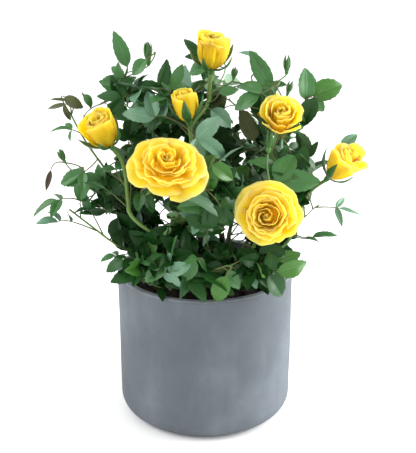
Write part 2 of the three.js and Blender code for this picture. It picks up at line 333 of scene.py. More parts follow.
def pot():
    """One closed turned skin: underside, rounded foot, wall, rim, inner wall and inner floor."""
    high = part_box("pot")[1]
    rim, top = high.x, high.z
    foot = rim - POT_TAPER
    inner, inner_foot = rim - POT_WALL, foot - POT_WALL
    edge = POT_RIM_ROUND
    profile = np.vstack([
        [[LAST_RING, 0]],
        line_points((0, 0), (foot - POT_FOOT_ROUND, 0), UNDERSIDE_STEP),
        arc(foot - POT_FOOT_ROUND, POT_FOOT_ROUND, POT_FOOT_ROUND, -90, 0, 15),
        line_points((foot, POT_FOOT_ROUND), (rim, top - edge), POT_STEP),
        arc(rim - edge, top - edge, edge, 0, 90, 7),
        arc(inner + edge, top - edge, edge, 90, 180, 7),
        line_points((inner, top - edge), (inner_foot, 2 * POT_FLOOR), 2 * POT_STEP),
        arc(inner_foot - POT_FLOOR, 2 * POT_FLOOR, POT_FLOOR, 0, -90, 6),
        [[LAST_RING, POT_FLOOR]],
    ])
    rings = turned(profile, POT_SIDES)
    height, angle = rings[..., 2], np.arctan2(rings[..., 1], rings[..., 0])
    # Hand-cast cement is never quite round
    ripple = POT_RIPPLE * (np.sin(2 * angle + 40 * height) + 0.5 * np.sin(5 * angle - 70 * height))
    on_wall = np.clip((height - POT_FOOT_ROUND) / POT_FOOT_ROUND, 0, 1)
    rings[..., :2] *= (1 + (ripple * on_wall - POT_SHRINK * on_wall) / rim)[..., None]
    faces = capped_tube(len(profile), POT_SIDES)
    place_piece(make_piece("pot_cast", rings, faces, [cement(top)]), "pot", "pot")
    return rim, top


rim_radius, rim_height = pot()


# ---------------------------------------------------------------- soil
# Dark, crumbly potting mix fills the pot to a little below its rim. It is one uneven surface with loose
# crumbs of peat and bark lying on it.
SOIL_RINGS = 46
SOIL_SIDES = 110
SOIL_DROOP = 2.2 * mm  # how much lower it lies at the wall than in the middle
SOIL_LUMP = 1.6 * mm
LUMP_WIDTH = 16 * mm
LUMP_SINK = 0.6 * mm  # how far the lumps are let down, and the most that one then stands up
LUMP_TOP = 1.4 * mm
CRUMBS = 900
CRUMB_SIZE = (0.7 * mm, 2.3 * mm)
CRUMB_LIFT = 0.2 * mm
PEAT = (0.010, 0.007, 0.005)
PEAT_LIGHT = (0.030, 0.021, 0.014)


def cloud(points, size, seed, octaves=3):
    """Smooth uneven values over points: a sum of sines in seeded directions, each octave finer."""
    random = np.random.default_rng(seed)
    total = 0
    for octave in range(octaves):
        waves = random.normal(size=(5, 3)) * (2 ** octave) * 2 * np.pi / size
        phases = random.uniform(0, 2 * np.pi, 5)
        total = total + np.sin(points @ waves.T + phases).sum(-1) / 5 / 2 ** octave
    return total


def peat():
    """Nearly black, with browner specks of bark and a rough broken skin."""
    m = Nodes("peat")
    places = m.coordinate()
    coarse = m.noise(places, 320.0, 5.0, 0.7)
    m.link(m.ramp(coarse, (0.42, PEAT), (0.72, PEAT_LIGHT)), m.shader.inputs["Base Color"])
    m.bump(coarse, 0.8 * mm, 0.9)
    socket_values(m.shader, Roughness=0.95, Specular_IOR_Level=0.2)
    return m.material


def soil(material):
    """A mounded uneven disc whose side runs down inside the pot's wall and across its floor. Returns its
    radius and height."""
    low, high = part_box("soil")
    edge, top, base = high.x, high.z, low.z
    share = np.linspace(0.01, 1, SOIL_RINGS)
    surface = np.stack([edge * share, top - SOIL_DROOP * share ** 3], axis=-1)
    # Down beside the wall, in over the rounded corner of the pot's floor, and back to the middle
    skirt = np.array([[edge - 0.4 * mm, top - 8 * mm], [edge - 1.5 * mm, base + 20 * mm],
                      [edge - 10 * mm, base + 2 * mm], [0.5 * mm, base + 1 * mm]])
    rings = turned(np.vstack([surface, skirt]), SOIL_SIDES)
    lumps = cloud(rings[:SOIL_RINGS], LUMP_WIDTH, 3, 4) * SOIL_LUMP
    rings[:SOIL_RINGS, :, 2] += np.minimum(lumps - LUMP_SINK, LUMP_TOP)
    faces = capped_tube(len(rings), SOIL_SIDES)
    place_piece(make_piece("soil_fill", rings[::-1], faces, [material]), "soil", "soil")
    return edge, top


def many_of(faces, corners, count):
    """The faces of that many like shapes in a row, each with that many corners."""
    return (faces[None] + corners * np.arange(count)[:, None, None]).reshape(-1, faces.shape[1])


def crumbs(edge, top, material):
    """Loose crumbs on the soil: cubes with their corners moved, each stretched and turned at random."""
    random = np.random.default_rng(5)
    cube = np.array([(x, y, z) for x in (-1, 1) for y in (-1, 1) for z in (-1, 1)], float)
    cube_faces = np.array([(0, 1, 3, 2), (4, 6, 7, 5), (0, 4, 5, 1),
                           (2, 3, 7, 6), (0, 2, 6, 4), (1, 5, 7, 3)])
    reach = (edge - 2 * mm) * np.sqrt(random.uniform(0, 1, CRUMBS))
    bearing = random.uniform(0, 2 * np.pi, CRUMBS)
    size = random.uniform(*CRUMB_SIZE, (CRUMBS, 1, 1)) * random.uniform(0.4, 1, (CRUMBS, 1, 3)) / 2
    turns = np.linalg.qr(random.normal(size=(CRUMBS, 3, 3)))[0]
    turns *= np.sign(np.linalg.det(turns))[:, None, None]
    shape = (cube + random.uniform(-0.4, 0.4, (CRUMBS, 8, 3))) * size
    places = np.stack([reach * np.cos(bearing), reach * np.sin(bearing),
                       top - SOIL_DROOP * (reach / edge) ** 3 + CRUMB_LIFT], axis=-1)
    points = np.einsum("nij,nkj->nki", turns, shape) + places[:, None, :]
    place_piece(make_piece("soil_crumbs", points, many_of(cube_faces, 8, CRUMBS), [material]), "soil")


soil_mix = peat()
soil_radius, soil_top = soil(soil_mix)
crumbs(soil_radius, soil_top, soil_mix)


# ---------------------------------------------------------------- canes and flower stalks
# Green canes stand in the soil, browner and ribbed low down, and each flower has a stalk of its own.
# The bark has long ridges, slight swellings at its joints, and a few hooked prickles.
NODE_SIDES = 6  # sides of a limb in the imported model
LIMB_STEP = 1.6 * mm  # between the rings of corners along a limb
LIMB_SIDES = 10
CANE_GAIN, STALK_GAIN = 0.92, 1.2  # their radius, as a share of their node's
JOINT_EVERY = 15 * mm
JOINT_LENGTH = 1.6 * mm
JOINT_SWELL = 0.10
RIBS = 5
RIB_DEPTH = 0.07
RIB_TWIST = 25  # radians for each metre
MIN_BRANCH = 12 * mm
LEAST_RISE = 0.7  # a branch that rises less than this for its reach costs more
LOW_COST = 1.1
RULED_OUT = 1.0  # metres, more than any length in the plant
LEAVE_ALONG, ARRIVE_ALONG = 0.6, 0.7  # how much a branch follows its wood's way, and its own end's
FOOT_POINTS = 20
PRICKLES_PER_METRE = 32
PRICKLE_LENGTH = 2.6 * mm
PRICKLE_RADIUS = 0.75 * mm
PRICKLE_HOOK = 0.45  # how far down its tip bends, as a share of its length
PRICKLE_SIDES = 6
FIBRE_SCALE = 1500.0
FIBRE_STRETCH = (1, 1, 0.12)
BROWN_HEIGHT = 75 * mm  # above the soil, where the bark's brown has given way to green
LIMB_GREENS = ((0.080, 0.080, 0.034), (0.075, 0.150, 0.030), (0.105, 0.205, 0.040))
PRICKLE_BROWNS = ((0.20, 0.08, 0.04), (0.30, 0.16, 0.07))


def mesh_corners(mesh):
    """Every corner of a mesh, as rows of x, y, z."""
    corners = np.empty(3 * len(mesh.vertices))
    mesh.vertices.foreach_get("co", corners)
    return corners.reshape(-1, 3)


def node_corners(node):
    """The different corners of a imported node, as rows of x, y, z."""
    return np.unique(mesh_corners(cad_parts[node].data).round(6), axis=0)


def centre_line(node):
    """The middle and radius of each ring of corners of a limb, from its foot to its tip. The end rings
    have one more corner, at their middle."""
    corners = node_corners(node)
    chord = corners[corners[:, 2].argmax()] - corners[corners[:, 2].argmin()]
    corners = corners[np.argsort(corners @ chord)]
    end = NODE_SIDES + 1
    rings = [corners[:end], *corners[end:-end].reshape(-1, NODE_SIDES, 3), corners[-end:]]
    middles = np.array([ring.mean(0) for ring in rings])
    radii = np.array([np.linalg.norm(ring - ring.mean(0), axis=1).sum() / NODE_SIDES for ring in rings])
    return middles, radii


def cubic(start, end, leave, arrive, t):
    """Points at shares t of a cubic curve from a start to an end that leaves and arrives with the given
    speeds: (2t^3 - 3t^2 + 1) start + (t^3 - 2t^2 + t) leave + (3t^2 - 2t^3) end + (t^3 - t^2) arrive."""
    return ((2 * t ** 3 - 3 * t ** 2 + 1) * start + (t ** 3 - 2 * t ** 2 + t) * leave
            + (3 * t ** 2 - 2 * t ** 3) * end + (t ** 3 - t ** 2) * arrive)


def smooth_line(points, count):
    """Points along a smooth curve through the given ones: a cubic between each pair, whose direction at
    a point is that from the one before it to the one after."""
    length = np.concatenate([[0], np.cumsum(np.linalg.norm(np.diff(points, axis=0), axis=1))])
    slope = np.gradient(points, length, axis=0, edge_order=1)
    at = np.linspace(0, length[-1], count)
    k = np.clip(np.searchsorted(length, at, side="right") - 1, 0, len(points) - 2)
    span = (length[k + 1] - length[k])[:, None]
    return cubic(points[k], points[k + 1], span * slope[k], span * slope[k + 1],
                 (at - length[k])[:, None] / span)


def unit(vectors):
    """Vectors of length 1 in the same directions."""
    return vectors / np.maximum(np.linalg.norm(vectors, axis=-1, keepdims=True), 1e-9)


def tubes(paths, radii, sides):
    """Closed tubes along many paths of the same number of points: at each point a ring of corners across
    the path, round or with a radius for each corner, and a cap at each end. Returns points and faces."""
    tangent = unit(np.gradient(paths, axis=1))
    chord = np.abs(paths[:, -1] - paths[:, 0])
    aside = np.eye(3)[chord.argmin(-1)][:, None, :]
    first = unit(np.cross(tangent, aside))
    second = np.cross(tangent, first)
    angle = np.linspace(0, 2 * np.pi, sides, endpoint=False)
    across = first[:, :, None] * np.cos(angle)[:, None] + second[:, :, None] * np.sin(angle)[:, None]
    points = paths[:, :, None] + across * (radii[..., None] if radii.ndim == 3 else radii[..., None, None])
    rings = paths.shape[1]
    return points, many_of(capped_tube(rings, sides), rings * sides, len(paths))


def bark(name, old_and_shaded, green, fresh):
    """Green that turns to brown near the soil, with fine lengthwise streaks."""
    m = Nodes(name)
    places = m.coordinate()
    rise = m.share_between(m.parts(places)["Z"], soil_top, soil_top + BROWN_HEIGHT)
    wander = m.math("ADD", rise, m.math("MULTIPLY", m.noise(places, 90.0), 0.5))
    colour = m.ramp(wander, (0.25, old_and_shaded), (0.75, green), (1.0, fresh))
    streaks = m.noise(m.stretched(places, FIBRE_STRETCH), FIBRE_SCALE, 2.0)
    m.link(m.mix(m.ramp(streaks, (0.45, 0.0), (0.75, 0.3)), colour, old_and_shaded), m.shader.inputs["Base Color"])
    m.bump(streaks, 0.15 * mm, 0.6)
    socket_values(m.shader, Roughness=0.55, Specular_IOR_Level=0.4)
    return m.material


def mottled(name, first, second, scale, roughness):
    """Two colours in soft patches over a faintly uneven skin."""
    m = Nodes(name)
    patches = m.noise(m.coordinate(), scale)
    m.link(m.ramp(patches, (0.35, first), (0.65, second)), m.shader.inputs["Base Color"])
    m.bump(patches, 0.1 * mm, 0.4)
    socket_values(m.shader, Roughness=roughness, Specular_IOR_Level=0.3)
    return m.material


def bark_limb(node):
    """A limb along its node's centre line. Its radius follows the node's taper, a little less for a cane
    and more for a flower's stalk, with five shallow ribs and a swelling at each joint."""
    middles, radii = centre_line(node)
    length = np.linalg.norm(np.diff(middles, axis=0), axis=1).sum()
    count = max(6, int(length / LIMB_STEP))
    path = smooth_line(middles, count)
    along = np.linspace(0, length, count)
    taper = np.interp(along, np.linspace(0, length, len(radii)), radii)
    angle = np.linspace(0, 2 * np.pi, LIMB_SIDES, endpoint=False)
    swell = JOINT_SWELL * np.exp(-((along % JOINT_EVERY) / JOINT_LENGTH - 1.5) ** 2)
    ribs = RIB_DEPTH * np.cos(RIBS * angle[None, :] + RIB_TWIST * along[:, None])
    gain = STALK_GAIN if node.startswith("stalk") else CANE_GAIN
    return path, taper[:, None] * (gain + swell[:, None] + ribs)


def wood_rows(path, radius):
    """Place, direction and radius of each point of a path, as rows of seven numbers."""
    return np.hstack([path, unit(np.gradient(path, axis=0)), radius[:, None]])


def branch_line(wood, end, end_way, count):
    """A cubic curve to its end from the wood nearest to that, counting wood that it would have to leave
    at a low slope as further off. It leaves partly along the wood and arrives partly its end's way.
    Returns its points and the wood's radius."""
    off = end - wood[:, :3]
    reach = np.linalg.norm(off, axis=1)
    low = np.maximum(0, LEAST_RISE * np.hypot(off[:, 0], off[:, 1]) - off[:, 2])
    cost = reach + LOW_COST * low + RULED_OUT * (reach < MIN_BRANCH)
    foot = wood[cost.argmin()]
    start, way, radius = foot[:3], foot[3:6], foot[6]
    length = np.linalg.norm(end - start)
    leave = unit(unit(end - start) + LEAVE_ALONG * way) * length
    arrive = unit(unit(end - start) + ARRIVE_ALONG * end_way) * length
    return cubic(start, end, leave, arrive, np.linspace(0, 1, count)[:, None]), radius


def run_on(path, radius, wood):
    """A limb run on from its foot, inside the leaves, to the wood it grows from. Its radius goes evenly
    from the foot's to a thicker one, but no thicker than the wood allows."""
    below, wood_radius = branch_line(wood, path[0], 2 * unit(path[1] - path[0]), FOOT_POINTS)
    thick = min(0.8 * wood_radius, 1.2 * radius[0].mean())
    ring = radius[0] / radius[0].mean()
    return (np.vstack([below[:-1], path]),
            np.vstack([np.linspace(thick, radius[0].mean(), FOOT_POINTS)[:-1, None] * ring, radius]))


def prickles(paths, radii):
    """Cones that stand out of the bark and hook down, at random places along the limbs. A share t of the
    way to its tip, a prickle is t^2 of its hook down and (1.04 - t)^1.3 of its radius thick."""
    random = np.random.default_rng(8)
    feet, outs, downs = [], [], []
    for path, radius in zip(paths, radii):
        length = np.linalg.norm(np.diff(path, axis=0), axis=1).sum()
        for _ in range(random.poisson(length * PRICKLES_PER_METRE)):
            k = random.integers(2, len(path) - 2)
            down = unit(path[k - 1] - path[k + 1])
            out = unit(np.cross(down, random.normal(size=3)))
            feet.append(path[k] + out * radius[k] * 0.7)
            outs.append(out)
            downs.append(down)
    feet, outs, downs = (np.array(rows)[:, None, :] for rows in (feet, outs, downs))
    t = np.linspace(0, 1, 5)[None, :, None]
    lines = feet + outs * PRICKLE_LENGTH * t + downs * PRICKLE_LENGTH * PRICKLE_HOOK * t ** 2
    taper = PRICKLE_RADIUS * (1.04 - t[..., 0]) ** 1.3
    return tubes(lines, np.repeat(taper, len(feet), axis=0), PRICKLE_SIDES)


def canes_and_stalks():
    """Every limb as one piece of bark, and the prickles as another. The canes come first, then the flower
    stalks and the shoot, which run on down to the thick limbs before them. Returns the limbs' centre
    lines and radii."""
    names = [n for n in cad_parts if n.split("_")[0] in ("cane", "stalk", "shoot")]
    points, faces, lines, radii, start = [], [], {}, {}, 0
    for name in sorted(names, key=lambda n: (not n.startswith("cane"), n.startswith("shoot"), n)):
        path, radius = bark_limb(name)
        if not name.startswith("cane"):
            thick = [wood_rows(lines[n], radii[n]) for n in lines if "spray" not in n]
            path, radius = run_on(path, radius, np.vstack(thick))
        limb_points, limb_faces = tubes(path[None], radius[None], LIMB_SIDES)
        points.append(limb_points.reshape(-1, 3))
        faces.append(limb_faces + start)
        start += limb_points.size // 3
        lines[name] = path
        radii[name] = radius.mean(1)
    place_piece(make_piece("canes_and_stalks", np.vstack(points), np.vstack(faces),
                           [bark("bark", *LIMB_GREENS)]), "cane", *names)
    prickle = mottled("prickle", *PRICKLE_BROWNS, 400.0, 0.5)
    place_piece(make_piece("prickles", *prickles(lines.values(), radii.values()), [prickle]), "cane")
    return lines, radii


limb_lines, limb_radii = canes_and_stalks()


# ---------------------------------------------------------------- flowers
# Each flower is a whorl of thin, soft petals set in a spiral, the inner ones folded round the heart and
# the outer ones bent back. They are deep gold at the base and heart, and the paler colour at their rolled
# rims is a painted highlight.
GOLDEN_TURN = math.radians(137.508)
PETAL_ROWS = 13
PETAL_COLUMNS = 15
PETAL_THICK = 0.34 * mm
PETAL_DEPTH = 4 * mm  # how far light spreads inside the petals
PETAL_CELLS = 3  # squares along a side of the board that holds one pattern for each zone and face
PETAL_ZONES = (0.3, 0.68)  # where along the spiral the middle and the guard petals begin
HALF_OPEN = 0.3  # flowers less open than this are all of the deeper gold of closed ones
FANNED_VEINS = 34.0
# What a petal does, as four values: at the heart of a closed flower and of an open one, and at the
# outside of a closed flower and of an open one. The slopes and half angles are in degrees.
FIRST_SLOPE = (14, 24, 80, 80)
MIDDLE_SLOPE = (-2, -2, -7, 53)
LAST_SLOPE = (-14, -34, -22, 96)
PETAL_LENGTH = (0.92, 0.70, 1.0, 1.0)
HALF_ANGLE = (92, 64, 76, 52)
PETAL_COLOURS = {
    # base, body and rim of the petals of each zone; the pale rim colour is a painted highlight
    "heart": ((1.0, 0.62, 0.004), (1.0, 0.74, 0.012), (1.0, 0.84, 0.12)),
    "middle": ((1.0, 0.76, 0.006), (1.0, 0.81, 0.030), (1.0, 0.85, 0.22)),
    "guard": ((1.0, 0.75, 0.008), (1.0, 0.80, 0.045), (1.0, 0.85, 0.28)),
    "closed": ((0.96, 0.66, 0.004), (0.96, 0.74, 0.018), (0.98, 0.82, 0.14)),
}
CUP_FEET = (0.12, 0.30)
OUTER_PALE = (1.0, 0.92, 0.25)  # what the rims of the petals' outer faces turn towards, a paler painted highlight
CORE_SIDES = 14
CORE_FOOT = 0.08
CORE_TOPS = (0.55, 0.74)  # how high in the head the core ends, closed and open
CORE_RADII = (0.22, 0.32)
CORE_SHAPES = ((0.4, 0.8, 1.0, 1.0, 0.95, 0.8, 0.1), (0.4, 0.8, 1.4, 1.9, 1.6, 0.9, 0.1))
CORE_GOLDS = ((1.0, 0.56, 0.003), (1.0, 0.68, 0.010))
FLOWERS = {
    # openness, petals, turn about its own axis, turn of its sepals, seed, ruffle, how far its heart lies
    # across and up from its middle, and the bearings and gains of its long petals
    "open_left": (1.0, 32, 0.3, 0.0, 21, 2.4, (0.0, 0.02), (
        (95, 0.08), (35, 0.08), (-30, -0.08), (-62, -0.20), (-95, -0.04), (-128, -0.20), (-155, -0.08))),
    "open_right": (0.82, 32, 3.4, 0.0, 22, 1.9, (-0.14, -0.08), (
        (75, 0.02), (125, -0.05), (180, -0.08), (-80, 0.05), (-20, -0.10), (30, -0.08))),
    "upper_right": (0.50, 22, 0.6, 0.0, 23, 1.5, (0.0, 0.0), ((185, 0.20),)),
    "top": (0.06, 18, 0.2, 0.30, 24, 1.2, (0.0, 0.0), ()),
    "far_right": (0.46, 17, 2.4, 0.5, 25, 1.3, (0.0, 0.0), ((-90, 0.26), (-45, 0.16))),
    "far_left": (0.14, 17, 1.2, 0.45, 26, 0.9, (0.0, 0.0), ()),
    "small": (0.0, 13, 0.4, 0.3, 27, 0.7, (0.0, 0.0), ()),
    "back_open": (0.92, 32, 0.9, 0.0, 28, 1.8, (0.0, 0.0), ((-60, 0.15),)),
    "back_cup": (0.30, 20, 1.7, 0.5, 29, 1.2, (0.0, 0.0), ()),
    "back_low": (0.60, 26, 2.2, 0.0, 30, 1.4, (0.0, 0.0), ()),
}


def head_shape(name):
    """A flower's base, facing direction, radius and depth, from its node and the tip of its stalk."""
    corners = node_corners(f"flower_{name}")
    base = limb_lines[f"stalk_{name}"][-1]
    way = unit(corners.mean(0) - base)
    along = (corners - base) @ way
    radius = np.linalg.norm(corners - base - along[:, None] * way, axis=1).max()
    return base, way, radius, along.max()


heads = {name: head_shape(name) for name in FLOWERS}


def turn_to(direction):
    """The turn that carries the upright axis to a direction, as three columns."""
    side = unit(np.cross((0.0, 0.0, 1.0), direction) + np.array([1e-6, 0, 0]))
    return np.stack([side, np.cross(direction, side), direction], axis=-1)


def lerp(start, end, share):
    """The value a share of the way from a start to an end."""
    return start + (end - start) * share


def cup_foot(openness, depth):
    """How far above a head's base its petals begin: a share of its depth that grows with the cube of how
    open it is."""
    return lerp(*CUP_FEET, openness ** 3) * depth


def spread(four, openness, share):
    """A value of a petal that share of the way from the heart to the outside, out of its four values at
    the heart and the outside of closed and open flowers."""
    closed_heart, open_heart, closed_outside, open_outside = four
    return lerp(lerp(closed_heart, open_heart, openness), lerp(closed_outside, open_outside, openness),
                share)


def petals(openness, count, turn, seed, ruffle, lean, long_petals):
    """Petals as grids, in a head of radius 1 and depth 1.

    Petal k is turned k golden angles round the axis, and q runs from 0 at the heart to 1 outside. Along
    a petal (s) its slope from the axis goes from a first angle past a middle one to a last one, as a
    quadratic curve, and its distance and height are that slope's sine and cosine summed. Across (t), it
    follows a circle round the axis over the petal's own half angle to each side, less at its foot. The
    top edge falls off to the sides as an arch with a faint point in its middle. The rim and the side
    edges roll outwards, the petals at the heart of an open flower fold along their middle, and every
    petal waves. The lean moves the tops of the petals aside, those at the heart the most.
    """
    random = np.random.default_rng(seed)
    k = np.arange(count)
    q = ((k / (count - 1)) ** 1.3)[:, None, None]
    # Nine ways in which no two petals are alike
    (arch_odds, point_odds, first_odds, middle_odds, last_odds, length_odds, bearing_odds, fold_odds,
     height_odds) = random.normal(size=(9, count, 1, 1)).clip(-1.8, 1.8)
    s = np.linspace(0, 1, PETAL_ROWS)[None, :, None]
    t = np.linspace(-1, 1, PETAL_COLUMNS)[None, None, :]
    bearing = turn + GOLDEN_TURN * k[:, None, None] + 0.22 * bearing_odds * openness

    arch = lerp(0.08, 0.15, q) + 0.03 * arch_odds
    point = lerp(0.0, 0.05, q * openness) * (1 + point_odds) * np.exp(-(t / 0.22) ** 2)
    reach = s * (1 - arch * np.abs(t) ** 3.2 + point)
    first = spread(FIRST_SLOPE, openness, q ** 0.7) + 4 * first_odds
    middle = spread(MIDDLE_SLOPE, openness, q ** lerp(2.0, 1.1, openness))
    middle = middle + lerp(3, 7, openness) * middle_odds
    last = spread(LAST_SLOPE, openness, q ** lerp(1.6, 0.85, openness)) + 12 * last_odds
    step = np.diff(reach, axis=1)
    at = (reach[:, 1:] + reach[:, :-1]) / 2
    slope = (np.radians(first) * (1 - at) ** 2 + 2 * np.radians(middle) * at * (1 - at)
             + np.radians(last) * at ** 2)
    length = spread(PETAL_LENGTH, openness, q ** lerp(1.0, 0.8, openness))
    length = length * (1 + lerp(0.04, 0.09, q * openness) * length_odds)
    for degrees, gain in long_petals:
        apart = np.abs(np.angle(np.exp(1j * (bearing - math.radians(degrees)))))
        length = length * (1 + gain * q ** 3 * np.exp(-(apart / 0.35) ** 2))
    run = length * np.concatenate([0 * step[:, :1], np.cumsum(np.sin(slope) * step, axis=1)], axis=1)
    height = length * np.concatenate([0 * step[:, :1], np.cumsum(np.cos(slope) * step, axis=1)], axis=1)
    distance = 0.03 + 0.03 * q + run
    slope = np.concatenate([slope[:, :1], slope], axis=1)

    heart_angle = lerp(*HALF_ANGLE[:2], openness ** 3)
    half_angle = np.radians(lerp(heart_angle, lerp(*HALF_ANGLE[2:], openness), q ** 0.8))
    angle = bearing + t * half_angle * (0.42 + 0.58 * np.sin(np.minimum(s / 0.62, 1) * np.pi / 2))

    roll = length * lerp(0.25, 1, openness) * (
        lerp(0.03, 0.08, q) * reach ** 7 + lerp(0.0, 0.06, q ** 2) * t ** 4 * s ** 2)
    fold = length * 0.10 * openness ** 3 * np.clip(1 - 1.8 * q, 0, 1) * (1 + 0.6 * fold_odds)
    fold = fold * s * (0.4 - t ** 2)
    phase = random.uniform(0, 2 * np.pi, (2, count, 1, 1))
    wave = length * ruffle * lerp(0.006, 0.026, q) * s ** 2 * (
        np.sin(2.3 * np.pi * t + phase[0]) + 0.6 * np.sin(4.6 * np.pi * t + phase[1]))
    out = roll + fold + wave + lerp(0.05, 0.03, q) * t * s * length
    distance = distance + out * np.cos(slope)
    height = height - out * np.sin(slope) + 0.03 * height_odds * q * (1 - q) * 4
    aside = (1 - q) ** 2 * s ** 2
    return np.stack([distance * np.cos(angle) + lean[0] * aside, distance * np.sin(angle) + lean[1] * aside,
                     height + 0 * angle], axis=-1), q.ravel()


def sheet_with_back(front, thickness):
    """Thin closed sheets from grids of points (sheet, row, column): a second grid a thickness behind the
    first, and a strip of faces round the edge. Returns points, faces and which faces are the back's."""
    count, rows, columns = front.shape[:3]
    normal = unit(np.cross(np.gradient(front, axis=2), np.gradient(front, axis=1)))
    back = front - normal * thickness
    points = np.stack([front, back], axis=1)
    one = grid_faces(rows, columns)
    size = rows * columns
    index = np.arange(size).reshape(rows, columns)
    edge = np.concatenate([index[0, :-1], index[:-1, -1], index[-1, :0:-1], index[:0:-1, 0]])
    after = np.roll(edge, -1)
    rim = np.stack([after, edge, edge + size, after + size], axis=-1)
    faces = np.vstack([one, one[:, ::-1] + size, rim])
    side = np.concatenate([np.zeros(len(one), int), np.ones(len(one), int), np.ones(len(rim), int)])
    return points, many_of(faces, 2 * size, count), np.tile(side, (count, 1))


def stacked_map(pattern, cell, cells):
    """Pattern pairs moved into one square of a board of cells x cells squares, a little inside it."""
    corner = np.stack([cell % cells, cell // cells], axis=-1)
    return (corner + 0.04 + 0.92 * pattern) / cells


def let_light_through(m, colour, share):
    """Mixes a share of light from behind, in that colour, into a material's surface."""
    through = m.add("ShaderNodeBsdfTranslucent")
    m.link(colour, through.inputs["Color"])
    both = m.add("ShaderNodeMixShader")
    both.inputs["Fac"].default_value = share
    m.link(m.shader.outputs["BSDF"], both.inputs[1])
    m.link(through.outputs["BSDF"], both.inputs[2])
    m.link(both.outputs["Shader"], m.tree.nodes["Material Output"].inputs["Surface"])


def petal_material(zone, face):
    """Gold at the base to pale at the rim, a painted highlight, with fine veins that fan out along the
    petal. Light comes through it, and its outer face is a little paler and duller."""
    base, body, rim = (np.array(c) for c in PETAL_COLOURS[zone])
    if face == "outer":
        base, rim = lerp(base, body, 0.4), lerp(rim, np.array(OUTER_PALE), 0.3)
    m = Nodes(f"petal_{zone}_{face}")
    place = m.parts(m.coordinate("petal"))
    across, along = place["X"], place["Y"]
    # The pale rim colour at the end of this ramp is a painted highlight
    colour = m.ramp(along, (0.06, tuple(base)), (0.45, tuple(body)), (0.84, tuple(body)), (1.0, tuple(rim)))
    fan = m.math("DIVIDE", m.math("SUBTRACT", across, 0.5), m.math("ADD", along, 0.35))
    vein_place = m.add("ShaderNodeCombineXYZ")
    m.link(m.math("MULTIPLY", fan, FANNED_VEINS), vein_place.inputs["X"])
    m.link(m.math("MULTIPLY", along, 2.0), vein_place.inputs["Y"])
    veins = m.noise(vein_place.outputs[0], 1.0, 3.0)
    veined = m.mix(m.ramp(veins, (0.45, 0.0), (0.75, 0.28)), colour, tuple(lerp(body, base, 0.6)))
    m.link(veined, m.shader.inputs["Base Color"])
    m.bump(veins, 0.12 * mm, 0.35)
    socket_values(m.shader, Roughness=0.62, Specular_IOR_Level=0.2, Sheen_Weight=0.1,
                  Subsurface_Weight=0.8, Subsurface_Scale=PETAL_DEPTH, Subsurface_Radius=(1.0, 0.7, 0.25))
    let_light_through(m, veined, 0.5)
    return m.material


petal_materials = [petal_material(zone, face) for zone in PETAL_COLOURS for face in ("inner", "outer")]


def flower(name, openness, count, turn, _sepal_turn, seed, ruffle, lean, long_petals):
    """The petals of one flower, scaled so that its outer petals reach its node's radius and its highest
    ones its depth, and turned to face its way. Returns the line and radii of the small golden core that
    they stand round."""
    base, way, radius, depth = heads[name]
    grids, q = petals(openness, count, turn, seed, ruffle, lean, long_petals)
    foot = cup_foot(openness, depth)
    wide = np.percentile(np.linalg.norm(grids[q > 0.8][..., :2], axis=-1).max((1, 2)), 40)
    tall = np.percentile(grids[..., 2].max((1, 2)), 90)
    grids = grids * np.array([radius / wide, radius / wide, (depth - foot) / tall])
    grids[..., 2] += foot
    points, faces, outer = sheet_with_back(grids @ turn_to(way).T + base, PETAL_THICK)
    zone = np.searchsorted(PETAL_ZONES, q)[:, None]
    if openness < HALF_OPEN:
        zone = np.full_like(zone, len(PETAL_ZONES) + 1)
    along = np.linspace(0, 1, PETAL_ROWS)[:, None] + 0 * np.linspace(0, 1, PETAL_COLUMNS)
    across = np.linspace(0, 1, PETAL_COLUMNS)[None, :] + 0 * along
    pattern = np.broadcast_to(np.stack([across, along], axis=-1), points.shape[:-1] + (2,))
    cell = 2 * zone[:, :, None, None] + np.arange(2)[None, :, None, None] + 0 * pattern[..., 0].astype(int)
    piece = make_piece(f"flower_{name}_petals", points, faces, petal_materials, 2 * zone + outer,
                       {"OFBake": stacked_map(pattern, cell, PETAL_CELLS), "petal": pattern})
    place_piece(piece, "petal", f"flower_{name}")
    closed, wide_open = (np.array(shape) for shape in CORE_SHAPES)
    rise = np.linspace(CORE_FOOT, lerp(*CORE_TOPS, openness), len(closed))[:, None]
    core_radii = radius * lerp(*CORE_RADII, openness) * lerp(closed, wide_open, min(1, 1.3 * openness))
    aside = turn_to(way) @ np.array((*lean, 0.0)) * radius
    return base + way * rise * depth + aside * rise ** 2, core_radii


def flowers():
    """Every flower, and the cores of all of them as one piece."""
    lines, radii = zip(*(flower(name, *facts) for name, facts in FLOWERS.items()))
    core_gold = mottled("flower_core", *CORE_GOLDS, 300.0, 0.8)
    cores = tubes(np.array(lines), np.array(radii), CORE_SIDES)
    place_piece(make_piece("flower_cores", *cores, [core_gold]), "petal")


flowers()


# ---------------------------------------------------------------- twigs and buds
# Twigs grow on from the canes and stalks, thinner and greener, bending a little from joint to joint. A few
# end in closed green buds. Under each flower and bud is a round hip with five narrow sepals.
UP = np.array((0, 0, 1.0))
CROWN_CENTRE = np.array((0, 0.01, 0.19))
TWIG_SIDES = 6
TWIG_POINTS = 14
TWIG_FOOT = 0.95 * mm  # the largest radius that a twig starts with
TWIG_TIP = 0.55 * mm
TWIG_JOINT = 11 * mm
TWIG_ZIGZAG = 0.02  # how far it swings from joint to joint, as a share of its length
HIP_RADIUS = 2.4 * mm
HIP_SHAPE = ((0, 0.3, 0.65, 1), (0.4, 0.9, 1.0, 1.25))  # heights, and radii there, as shares
BUD_SHAPE = ((0, 0.15, 0.3, 0.55, 0.8, 1), (1.0, 2.0, 1.7, 2.3, 1.4, 0.3))
BUD_SLIMNESS = 14  # a bud's length over the radius that is 1 in its shape
HIP_SIDES = 8
STATIONS = 13  # along a blade
BLADE_RING = (-1, -0.52, 0, 0.52, 1, 0)  # where its corners stand across it: the last is the underside
BLADE_SWELL = (0.60, 0.92)  # powers of the distances from its foot and its tip
